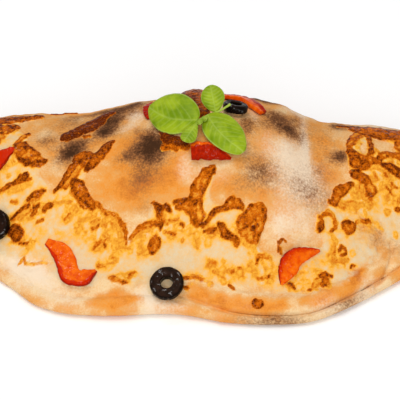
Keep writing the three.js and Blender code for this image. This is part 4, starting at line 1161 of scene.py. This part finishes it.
def scaled(tree, value, gain, base=None):
    """gain times the value, and base added to it if there is one."""
    grown = math_node(tree, "MULTIPLY", value, gain)
    return grown if base is None else total(tree, base, grown)


def between(tree, value, low, high, start=0.0, end=1.0, kind="LINEAR"):
    """start where the value is below low, end where it is above high, and a ramp between them."""
    limits = {"Value": value, "From Min": low, "From Max": high, "To Min": start, "To Max": end}
    return node(tree, "ShaderNodeMapRange", limits, interpolation_type=kind).outputs["Result"]


def mix_colour(tree, factor, under, over):
    """One colour over another. A Mix node's sockets 6 and 7 take the colours."""
    return node(tree, "ShaderNodeMix", {"Factor": factor, 6: under, 7: over}, data_type="RGBA").outputs[2]


def mark(tree, name):
    """The value of a mark that the mesh carries."""
    return node(tree, "ShaderNodeAttribute", attribute_name=name, attribute_type="GEOMETRY").outputs["Fac"]


def new_group(name, inputs, outputs):
    """A shader node group with named sockets. inputs are {name: (kind, default)}."""
    group = bpy.data.node_groups.new(name, "ShaderNodeTree")
    for socket, (kind, default) in inputs.items():
        made = group.interface.new_socket(socket, in_out="INPUT", socket_type=kind)
        made.default_value = (*default, 1.0) if kind == "NodeSocketColor" else default
    for socket, kind in outputs.items():
        group.interface.new_socket(socket, in_out="OUTPUT", socket_type=kind)
    return group, node(group, "NodeGroupInput").outputs, node(group, "NodeGroupOutput").inputs


def filled(tree, name, inputs):
    """The output of a shared node group, placed in a tree with its own values."""
    return node(tree, "ShaderNodeGroup", inputs, node_tree=bpy.data.node_groups[name]).outputs[0]


def grain(tree, size, contrast):
    """Soft noise of a size in millimetres, between 0 and 1."""
    return filled(tree, "Grain", {"Size": size, "Contrast": contrast})


def layered(tree, under, over, mask, size, ragged, soft):
    """One colour over another, with an edge that breaks up into grain of that size."""
    return filled(tree, "Ragged layer", {
        "Under": under, "Over": over, "Mask": mask,
        "Grain size": size, "Raggedness": ragged, "Softness": soft,
    })


def browned(tree, level, *colours):
    """The colour that food of these four colours has, baked to that level."""
    return filled(tree, "Browning", {"Level": level, **dict(zip(STAGES, colours))})


def texture(tree, kind, size, output, inputs, **settings):
    """A texture of a size in millimetres that keeps its place on the piece."""
    place = node(tree, "ShaderNodeTexCoord").outputs["Object"]
    scale = math_node(tree, "DIVIDE", 1 / MM, size)
    return node(tree, kind, {"Vector": place, "Scale": scale, **inputs}, **settings).outputs[output]


FLOAT, COLOUR = "NodeSocketFloat", "NodeSocketColor"
GREY = (0.5, 0.5, 0.5)
STAGES = {"Pale": 0.0, "Golden": 0.36, "Brown": 0.64, "Dark": 1.0}  # the level at which each is reached
DOUGH_COLOURS = ("Pale", "Golden", "Toasted", "Well done", "Flour", "Singed", "Scorch")
FLOOR_GRAIN = 0.985  # how bright the floor's grain is, as a share of the floor


def build_grain():
    """Grain: soft noise of a size in millimetres, spread out between 0 and 1."""
    inputs = {"Size": (FLOAT, 1.0), "Contrast": (FLOAT, 1.0)}
    group, given, made = new_group("Grain", inputs, {"Value": FLOAT})
    rough = {"Detail": 3.0, "Roughness": 0.6}
    noise = texture(group, "ShaderNodeTexNoise", given["Size"], "Fac", rough)
    centred = scaled(group, math_node(group, "SUBTRACT", noise, 0.5), given["Contrast"])
    feed(group, made["Value"], total(group, centred, 0.5))


def build_ragged():
    """Ragged layer: one colour over another, where the edge of the mask breaks up into grain."""
    inputs = {
        "Under": (COLOUR, (1, 1, 1)), "Over": (COLOUR, (0, 0, 0)), "Mask": (FLOAT, 0.0),
        "Grain size": (FLOAT, 1.0), "Raggedness": (FLOAT, 0.5), "Softness": (FLOAT, 0.3),
    }
    group, given, made = new_group("Ragged layer", inputs, {"Color": COLOUR})
    noise = grain(group, given["Grain size"], contrast=2.0)
    broken = scaled(group, math_node(group, "SUBTRACT", noise, 0.5), given["Raggedness"])
    # The grain fades out where the mask does, and nothing of the layer is left below a faint mask.
    fade = math_node(group, "MINIMUM", scaled(group, given["Mask"], 3.0), 1.0)
    level = total(group, given["Mask"], scaled(group, broken, fade))
    low = math_node(group, "SUBTRACT", 0.5, given["Softness"])
    high = total(group, 0.5, given["Softness"])
    sharp = between(group, level, low, high, kind="SMOOTHSTEP")
    sharp = scaled(group, sharp, math_node(group, "GREATER_THAN", given["Mask"], 0.02))
    feed(group, made["Color"], mix_colour(group, sharp, given["Under"], given["Over"]))


def build_browning():
    """Browning: a colour that goes through four stages as the level rises from 0 to 1."""
    inputs = {"Level": (FLOAT, 0.0), **{name: (COLOUR, GREY) for name in STAGES}}
    group, given, made = new_group("Browning", inputs, {"Color": COLOUR})
    colour, before = given["Pale"], 0.0
    for name, at in list(STAGES.items())[1:]:
        share = between(group, given["Level"], before, at)
        colour, before = mix_colour(group, share, colour, given[name]), at
    feed(group, made["Color"], colour)


def build_pebbles():
    """Pebbles: a bumpy height in millimetres, from round bubbles and from finer grain."""
    inputs = {
        "Bubble size": (FLOAT, 1.5), "Bubbles": (FLOAT, 0.1),
        "Grain size": (FLOAT, 0.5), "Grain": (FLOAT, 0.03),
    }
    group, given, made = new_group("Pebbles", inputs, {"Height": FLOAT})
    cells = texture(
        group, "ShaderNodeTexVoronoi", given["Bubble size"], "Distance", {"Smoothness": 0.6},
        feature="SMOOTH_F1",
    )
    bubbles = scaled(group, math_node(group, "SUBTRACT", 0.5, cells), given["Bubbles"])
    fine = scaled(group, grain(group, given["Grain size"], contrast=1.5), given["Grain"])
    feed(group, made["Height"], total(group, bubbles, fine))


def build_honeycomb():
    """Honeycomb: uneven thin walls round small cells, 1 on a wall and 0 inside a cell."""
    inputs = {"Cell size": (FLOAT, 2.6), "Wall": (FLOAT, 0.16)}
    group, given, made = new_group("Honeycomb", inputs, {"Value": FLOAT})
    size = given["Cell size"]
    # The cells are bent by noise of up to a millimetre and a half each way.
    bent = texture(group, "ShaderNodeTexNoise", size, "Color", {"Detail": 2.0})
    place = node(group, "ShaderNodeTexCoord").outputs["Object"]
    for operation, by in (("SUBTRACT", GREY), ("MULTIPLY", (3 * MM, 3 * MM, 3 * MM)), ("ADD", place)):
        bent = node(group, "ShaderNodeVectorMath", {0: bent, 1: by}, operation=operation).outputs["Vector"]
    edge = texture(
        group, "ShaderNodeTexVoronoi", size, "Distance", {"Vector": bent}, feature="DISTANCE_TO_EDGE",
    )
    feed(group, made["Value"], between(
        group, edge, 0.02, given["Wall"], start=1.0, end=0.0, kind="SMOOTHSTEP",
    ))


def build_glints():
    """Glints: scattered wet spots of a size in millimetres, 1 on a spot and 0 between them."""
    inputs = {"Spot size": (FLOAT, 1.0), "Spread": (FLOAT, 0.4)}
    group, given, made = new_group("Glints", inputs, {"Value": FLOAT})
    low = math_node(group, "SUBTRACT", 1.0, given["Spread"])
    high = total(group, low, 0.05)
    noise = grain(group, given["Spot size"], contrast=2.0)
    feed(group, made["Value"], between(group, noise, low, high))


def new_material(name, **constants):
    """A material with a Principled shader, whose constant sockets are set directly."""
    material = bpy.data.materials.new(name)
    material.use_nodes = True
    tree = material.node_tree
    shader = tree.nodes["Principled BSDF"]
    for socket, value in constants.items():
        shader.inputs[socket.replace("_", " ")].default_value = value
    return material, tree, shader.inputs


def bump(tree, sockets, strength, bubble_size, bubbles, grain_size, grain_height):
    """Bumps the shader's normal with bubbles and grain, their sizes and heights in millimetres."""
    height = filled(tree, "Pebbles", {
        "Bubble size": bubble_size, "Bubbles": bubbles, "Grain size": grain_size, "Grain": grain_height,
    })
    made = node(tree, "ShaderNodeBump", {"Height": height, "Strength": strength, "Distance": MM})
    feed(tree, sockets["Normal"], made.outputs["Normal"])


def spots(tree, size, spread):
    """Wet spots of a size in millimetres, the more of them the more spread."""
    return filled(tree, "Glints", {"Spot size": size, "Spread": spread})


def build_dough_bake():
    """Dough bake: pale to toasted dough, dusted with flour, scorched grey-brown where it stood highest; the
    scorch mark also paints shade in a few patches.
    """
    inputs = {
        "Toast mark": (FLOAT, 0.3), "Scorch mark": (FLOAT, 0.0), "Flour mark": (FLOAT, 0.0),
        **{name: (COLOUR, GREY) for name in DOUGH_COLOURS},
    }
    group, given, made = new_group("Dough bake", inputs, {"Color": COLOUR})
    mottle = math_node(group, "SUBTRACT", grain(group, size=3.2, contrast=0.34), 0.5)
    fine = math_node(group, "SUBTRACT", grain(group, size=0.8, contrast=0.5), 0.5)
    level = total(group, given["Toast mark"], mottle, fine)
    baked = browned(group, level, *[given[name] for name in ("Pale", "Golden", "Toasted", "Well done")])
    floured = layered(group, baked, given["Flour"], given["Flour mark"], size=1.1, ragged=0.5, soft=0.5)
    singeing = scaled(group, given["Scorch mark"], 1.3)
    singed = layered(group, floured, given["Singed"], singeing, size=1.0, ragged=0.6, soft=0.55)
    charring = math_node(group, "SUBTRACT", given["Scorch mark"], 0.24)
    charred = layered(group, singed, given["Scorch"], charring, size=1.0, ragged=0.7, soft=0.5)
    feed(group, made["Color"], charred)


def dough_colour(tree, look):
    """The baked dough's colour, from the marks that the mesh carries."""
    marks = {name.capitalize() + " mark": mark(tree, name) for name in ("toast", "scorch", "flour")}
    colours = {name: getattr(look, name.lower().replace(" ", "_")) for name in DOUGH_COLOURS}
    return filled(tree, "Dough bake", {**marks, **colours})


def crust_material(look):
    """Baked dough: matt, bubbled and floury."""
    material, tree, sockets = new_material("Baked dough", Specular_IOR_Level=0.05)
    feed(tree, sockets["Base Color"], dough_colour(tree, look))
    feed(tree, sockets["Roughness"], scaled(tree, grain(tree, size=0.7, contrast=1.6), gain=0.22, base=0.66))
    bump(tree, sockets, strength=0.8, bubble_size=2.2, bubbles=0.2, grain_size=0.6, grain_height=0.22)
    return material


def cheese_material(look):
    """Melted cheese: cream, gold round its browned ridges, thinning to the dough at its edges."""
    material, tree, sockets = new_material(
        "Melted cheese", Specular_IOR_Level=0.05, Specular_Tint=(1.0, 0.62, 0.3, 1.0), Coat_Roughness=0.06,
    )
    pebbled = mark(tree, "pebbled")
    mottle = grain(tree, size=2.4, contrast=0.2)
    speckle = grain(tree, size=0.8, contrast=scaled(tree, pebbled, gain=0.6, base=0.3))
    level = total(tree, mark(tree, "brown"), mottle, speckle, -1.0)
    wall = math_node(tree, "SUBTRACT", filled(tree, "Honeycomb", {"Cell size": 2.8, "Wall": 0.3}), 0.3)
    level = total(tree, level, scaled(tree, scaled(tree, mark(tree, "gold"), wall), gain=0.2))
    melted = browned(tree, level, look.cream, look.gold, look.browned, look.burnt)
    dough = dough_colour(tree, bpy.context.scene.calzone_dough)
    cover = scaled(tree, mark(tree, "thin"), gain=1.4)
    edged = layered(tree, dough, melted, cover, size=1.4, ragged=0.5, soft=0.5)
    feed(tree, sockets["Base Color"], edged)
    feed(tree, sockets["Roughness"], scaled(tree, pebbled, gain=-0.2, base=0.55))
    wet = scaled(tree, pebbled, gain=0.85, base=0.15)
    feed(tree, sockets["Coat Weight"], scaled(tree, wet, spots(tree, size=0.9, spread=0.24)))
    bubbles = scaled(tree, pebbled, gain=0.5, base=0.12)
    bump(tree, sockets, strength=0.9, bubble_size=1.7, bubbles=bubbles, grain_size=0.7, grain_height=0.2)
    return material


def pepper_material(look):
    """Roasted red pepper: glossy red skin, orange flesh, darker along its cut rim."""
    material, tree, sockets = new_material(
        "Roasted pepper", Specular_IOR_Level=0.16, Specular_Tint=(1.0, 0.25, 0.1, 1.0), Coat_Roughness=0.06,
    )
    flesh = layered(tree, look.flesh, look.flesh_deep, 0.45, size=2.6, ragged=1.1, soft=0.5)
    rim = scaled(tree, mark(tree, "rim"), gain=0.8)
    skin = layered(tree, look.skin, look.skin_deep, rim, size=1.6, ragged=0.7, soft=0.4)
    both = layered(tree, flesh, skin, mark(tree, "skin"), size=0.8, ragged=0.6, soft=0.35)
    feed(tree, sockets["Base Color"], both)
    feed(tree, sockets["Roughness"], scaled(tree, grain(tree, size=1.1, contrast=1.0), gain=0.25, base=0.2))
    feed(tree, sockets["Coat Weight"], spots(tree, size=0.7, spread=0.29))
    bump(tree, sockets, strength=0.7, bubble_size=1.3, bubbles=0.18, grain_size=0.5, grain_height=0.06)
    return material


def olive_material(look):
    """Black olive: near-black glossy skin, browner on its cut face."""
    material, tree, sockets = new_material(
        "Black olive", Specular_IOR_Level=0.07, Specular_Tint=(1.0, 0.6, 0.4, 1.0), Coat_Roughness=0.12,
    )
    cut = scaled(tree, mark(tree, "cut"), gain=0.55)
    both = layered(tree, look.olive_skin, look.olive_flesh, cut, size=2.0, ragged=1.0, soft=0.5)
    feed(tree, sockets["Base Color"], both)
    feed(tree, sockets["Roughness"], scaled(tree, grain(tree, size=1.4, contrast=1.0), gain=0.3, base=0.22))
    feed(tree, sockets["Coat Weight"], spots(tree, size=1.9, spread=0.32))
    bump(tree, sockets, strength=0.7, bubble_size=1.8, bubbles=0.12, grain_size=0.7, grain_height=0.07)
    return material


def basil_material(look):
    """Fresh basil: bright satin green, paler along the veins and on the underside, with a painted highlight
    along the rim.
    """
    material, tree, sockets = new_material(
        "Fresh basil", Specular_IOR_Level=0.08, Coat_Weight=0.06, Coat_Roughness=0.25,
    )
    colour = layered(tree, look.leaf, look.leaf_light, 0.56, size=9.0, ragged=1.5, soft=0.6)
    # The rim mark paints a highlight along each leaf's edge in the vein colour.
    tints = (("vein", 0.3, look.vein_and_rim_highlight), ("rim", 0.8, look.vein_and_rim_highlight), ("under", 0.4, look.leaf_light))
    for name, strength, tint in tints:
        colour = mix_colour(tree, scaled(tree, mark(tree, name), strength), colour, tint)
    feed(tree, sockets["Base Color"], colour)
    feed(tree, sockets["Roughness"], scaled(tree, grain(tree, size=1.0, contrast=1.0), gain=0.15, base=0.4))
    bump(tree, sockets, strength=0.5, bubble_size=1.6, bubbles=0.08, grain_size=0.5, grain_height=0.04)
    return material


def floor_material(look):
    """A plain pale floor with the faintest grain."""
    material, tree, sockets = new_material("Pale floor", Specular_IOR_Level=0.2)
    faint = grain(tree, size=40.0, contrast=0.4)
    darker = [value * FLOOR_GRAIN for value in look.floor]
    feed(tree, sockets["Base Color"], mix_colour(tree, faint, look.floor, darker))
    feed(tree, sockets["Roughness"], scaled(tree, faint, gain=0.1, base=0.75))
    return material


GROUP_BUILDERS = {
    "Grain": build_grain, "Ragged layer": build_ragged, "Browning": build_browning, "Pebbles": build_pebbles,
    "Honeycomb": build_honeycomb, "Glints": build_glints, "Dough bake": build_dough_bake,
}


def shared_material(name, build, look):
    """The material of that name, with the node groups it needs, built the first time it is wanted."""
    for group, builder in GROUP_BUILDERS.items():
        if group not in bpy.data.node_groups:
            builder()
    return bpy.data.materials.get(name) or build(look)


# ---------------------------------------------------------------- what a user would change


def colour_property(name, description, *display):
    """A colour, with its default as display values of 0 to 255."""
    return bpy.props.FloatVectorProperty(
        name=name, description=description, subtype="COLOR", size=3, min=0, max=1, default=linear(*display)
    )


class CalzoneDough(bpy.types.PropertyGroup):
    """The dough's fineness and colours."""

    columns: bpy.props.IntProperty(
        name="Columns", description="Columns of the dough's mesh from tip to tip", default=480,
        min=40, max=500,
    )
    pale: colour_property("Pale", "Dough that has hardly browned", 238, 204, 154)
    golden: colour_property("Golden", "Dough baked golden", 228, 162, 88)
    toasted: colour_property("Toasted", "Dough toasted orange-brown", 232, 146, 54)
    well_done: colour_property("Well done", "The most toasted dough", 200, 110, 36)
    flour: colour_property("Flour", "Flour baked onto the dough", 240, 216, 186)
    # Singed and Scorch also colour the few patches of painted shade and shadow on the dough.
    singed: colour_property("Singed", "Edges of the scorched patches", 150, 96, 58)
    scorch: colour_property("Scorch", "Middles of the scorched patches", 66, 40, 22)


class CalzoneCheese(bpy.types.PropertyGroup):
    """The cheese's fineness and colours."""

    cell: bpy.props.FloatProperty(
        name="Cell", description="Size of the cheese mesh's cells in millimetres", default=CELL,
        min=0.4, max=4,
    )
    cream: colour_property("Cream", "Cheese that is still pale", 224, 200, 162)
    gold: colour_property("Gold", "Cheese that is turning gold", 244, 175, 56)
    browned: colour_property("Browned", "Cheese that has browned", 206, 100, 5)
    burnt: colour_property("Burnt", "The darkest cheese", 90, 30, 1)


class CalzoneToppings(bpy.types.PropertyGroup):
    """Colours of the pepper, the olives and the basil."""

    skin: colour_property("Pepper skin", "Skin of the red pepper", 196, 36, 0)
    skin_deep: colour_property("Deep skin", "Pepper skin along its rim", 148, 18, 0)
    flesh: colour_property("Pepper flesh", "Cut flesh of the pepper", 238, 108, 10)
    flesh_deep: colour_property("Deep flesh", "Flesh next to the skin", 216, 62, 0)
    olive_skin: colour_property("Olive skin", "Skin of the olives", 12, 8, 6)
    olive_flesh: colour_property("Olive flesh", "Cut face of the olives", 40, 22, 14)
    leaf: colour_property("Leaf", "Blade of the basil leaves", 106, 136, 0)
    leaf_light: colour_property("Light leaf", "Lighter parts of the leaves", 154, 176, 28)
    # The veins' own paler green, also used for the painted highlight along the leaves' rim.
    vein_and_rim_highlight: colour_property("Vein", "Veins and rim of the leaves", 186, 204, 104)


def power_property(name, description, watts):
    """The power of a light."""
    return bpy.props.FloatProperty(name=name, description=description, default=watts, unit="POWER")


class CalzoneStage(bpy.types.PropertyGroup):
    """The floor, the lights and the camera."""

    floor: colour_property("Floor", "The plain floor", 255, 255, 255)
    floor_size: bpy.props.FloatProperty(
        name="Floor size", description="Side of the floor", default=20.0, unit="LENGTH"
    )
    key_power: power_property("Key light", "Power of the large soft light above", 19.0)
    glint_power: power_property("Glint light", "Power of the small light for the highlights", 3.0)
    fill_power: power_property("Fill light", "Power of the low soft light in front", 34.2)
    sky: bpy.props.FloatProperty(
        name="Sky", description="Strength of the even light all round", default=0.48, min=0
    )
    elevation: bpy.props.FloatProperty(
        name="Elevation", description="Camera's angle above the floor", default=math.radians(40),
        subtype="ANGLE",
    )
    distance: bpy.props.FloatProperty(
        name="Distance", description="From the camera to the calzone", default=0.8, unit="LENGTH"
    )
    lens: bpy.props.FloatProperty(name="Lens", description="Focal length", default=144.0, unit="CAMERA")


# ---------------------------------------------------------------- one operator for each piece


class CALZONE_OT_crust(bpy.types.Operator):
    """Build the folded, baked dough"""

    bl_idname = "calzone.crust"
    bl_label = "Crust"

    def execute(self, context):
        look = context.scene.calzone_dough
        material = shared_material("Baked dough", crust_material, look)
        add_piece("crust_baked", *crust_mesh(look.columns), material, "crust", "crust")
        return {"FINISHED"}


class CALZONE_OT_cheese(bpy.types.Operator):
    """Build the melted cheese with its browned ridges"""

    bl_idname = "calzone.cheese"
    bl_label = "Cheese"

    def execute(self, context):
        look = context.scene.calzone_cheese
        material = shared_material("Melted cheese", cheese_material, look)
        add_piece("cheese_melted", *cheese_mesh(look.cell), material, "cheese", "cheese")
        return {"FINISHED"}


class CALZONE_OT_peppers(bpy.types.Operator):
    """Build the strips of roasted pepper"""

    bl_idname = "calzone.peppers"
    bl_label = "Peppers"

    def execute(self, context):
        look = context.scene.calzone_toppings
        material = shared_material("Roasted pepper", pepper_material, look)
        for number, (name, shape) in enumerate(PEPPERS.items()):
            seed = PEPPER_SEED + 3 * number
            add_piece(name + "_strip", *pepper_mesh(*shape, seed), material, "pepper", name)
        return {"FINISHED"}


class CALZONE_OT_olives(bpy.types.Operator):
    """Build the rings of black olive"""

    bl_idname = "calzone.olives"
    bl_label = "Olives"

    def execute(self, context):
        look = context.scene.calzone_toppings
        material = shared_material("Black olive", olive_material, look)
        for number, (name, ring) in enumerate(OLIVES.items()):
            seed = OLIVE_SEED + 3 * number
            add_piece(name + "_ring", *olive_mesh(*ring, seed), material, "olive", name)
        return {"FINISHED"}


class CALZONE_OT_basil(bpy.types.Operator):
    """Build the basil sprig: its leaves and its stem"""

    bl_idname = "calzone.basil"
    bl_label = "Basil"

    def execute(self, context):
        look = context.scene.calzone_toppings
        material = shared_material("Fresh basil", basil_material, look)
        leaves = [leaf_mesh(*leaf, LEAF_SEED + 2 * i) for i, leaf in enumerate(BASIL_LEAVES)]
        add_piece("basil_leaves", *joined([*leaves, stem_mesh()]), material, "basil", "basil_sprig")
        return {"FINISHED"}


# ---------------------------------------------------------------- the stage

# Where each round light hangs and how wide it is, in metres.
LIGHTS = {
    "key": ((-0.5, 0.0, 2.3), 1.4),
    "glint": ((-0.5, 0.9, 2.0), 0.08),
    "fill": ((0.1, -2.3, 1.6), 2.2),
}
TARGET_HEIGHT = 0.02  # of the point that the lights and the camera look at
FRAME_SHIFT = -0.0125  # moves the camera's frame a little to the left and down


def lay_floor(look):
    """Lays the plain floor under the calzone."""
    half = look.floor_size / 2
    mesh = bpy.data.meshes.new("floor")
    corners = [(-half, -half, 0), (half, -half, 0), (half, half, 0), (-half, half, 0)]
    mesh.from_pydata(corners, [], [(0, 1, 2, 3)])
    mesh.materials.append(shared_material("Pale floor", floor_material, look))
    floor = bpy.data.objects.new("floor", mesh)
    bpy.context.scene.collection.objects.link(floor)


def hang_light(name, power, target):
    """Hangs one of the lights, turned to the target."""
    place, size = LIGHTS[name]
    data = bpy.data.lights.new(name, "AREA")
    data.shape, data.size, data.energy = "DISK", size, power
    light = bpy.data.objects.new(name, data)
    light.location = place
    light.rotation_euler = (target - Vector(place)).to_track_quat("-Z", "Y").to_euler()
    bpy.context.scene.collection.objects.link(light)


def light_sky(strength):
    """Lights the scene evenly from all round."""
    world = bpy.data.worlds.new("studio")
    world.use_nodes = True
    sky = world.node_tree.nodes["Background"]
    sky.inputs["Color"].default_value = (1, 1, 1, 1)
    sky.inputs["Strength"].default_value = strength
    bpy.context.scene.world = world


def place_camera(look, target):
    """Places the camera in front of the calzone, above it and turned to the target."""
    data = bpy.data.cameras.new("camera")
    data.lens = look.lens
    data.shift_x = data.shift_y = FRAME_SHIFT
    camera = bpy.data.objects.new("camera", data)
    back = Vector((0, -math.cos(look.elevation), math.sin(look.elevation)))
    camera.location = target + back * look.distance
    camera.rotation_euler = (-back).to_track_quat("-Z", "Y").to_euler()
    bpy.context.scene.collection.objects.link(camera)
    bpy.context.scene.camera = camera


class CALZONE_OT_stage(bpy.types.Operator):
    """Lay the floor, hang the soft lights and place the camera"""

    bl_idname = "calzone.stage"
    bl_label = "Stage"

    def execute(self, context):
        look = context.scene.calzone_stage
        target = Vector((0, SHIFT[1] * MM, TARGET_HEIGHT))
        lay_floor(look)
        for name in LIGHTS:
            hang_light(name, getattr(look, name + "_power"), target)
        light_sky(look.sky)
        place_camera(look, target)
        context.scene.view_settings.view_transform = "Standard"
        return {"FINISHED"}


OPERATORS = (
    CALZONE_OT_crust, CALZONE_OT_cheese, CALZONE_OT_peppers, CALZONE_OT_olives, CALZONE_OT_basil,
    CALZONE_OT_stage,
)


class CALZONE_PT_panel(bpy.types.Panel):
    """Lists the operators that build the calzone"""

    bl_idname = "CALZONE_PT_panel"
    bl_label = "Calzone"
    bl_space_type = "VIEW_3D"
    bl_region_type = "UI"
    bl_category = "Calzone"

    def draw(self, context):
        for operator in OPERATORS:
            self.layout.operator(operator.bl_idname)
        for looks in LOOKS:
            box = self.layout.box()
            for name in LOOKS[looks].__annotations__:
                box.prop(getattr(context.scene, looks), name)


LOOKS = {
    "calzone_dough": CalzoneDough, "calzone_cheese": CalzoneCheese, "calzone_toppings": CalzoneToppings,
    "calzone_stage": CalzoneStage,
}
CLASSES = (*LOOKS.values(), *OPERATORS, CALZONE_PT_panel)


def register():
    """Registers the classes, and puts their properties on the scene."""
    for cls in CLASSES:
        bpy.utils.register_class(cls)
    for name, cls in LOOKS.items():
        setattr(bpy.types.Scene, name, bpy.props.PointerProperty(type=cls))


def unregister():
    """Takes the properties and the classes away again."""
    for name in LOOKS:
        delattr(bpy.types.Scene, name)
    for cls in reversed(CLASSES):
        bpy.utils.unregister_class(cls)


def main():
    """Builds the whole calzone on its stage."""
    register()
    for operator in OPERATORS:
        group, name = operator.bl_idname.split(".")
        getattr(getattr(bpy.ops, group), name)()


if __name__ == "__main__":
    main()
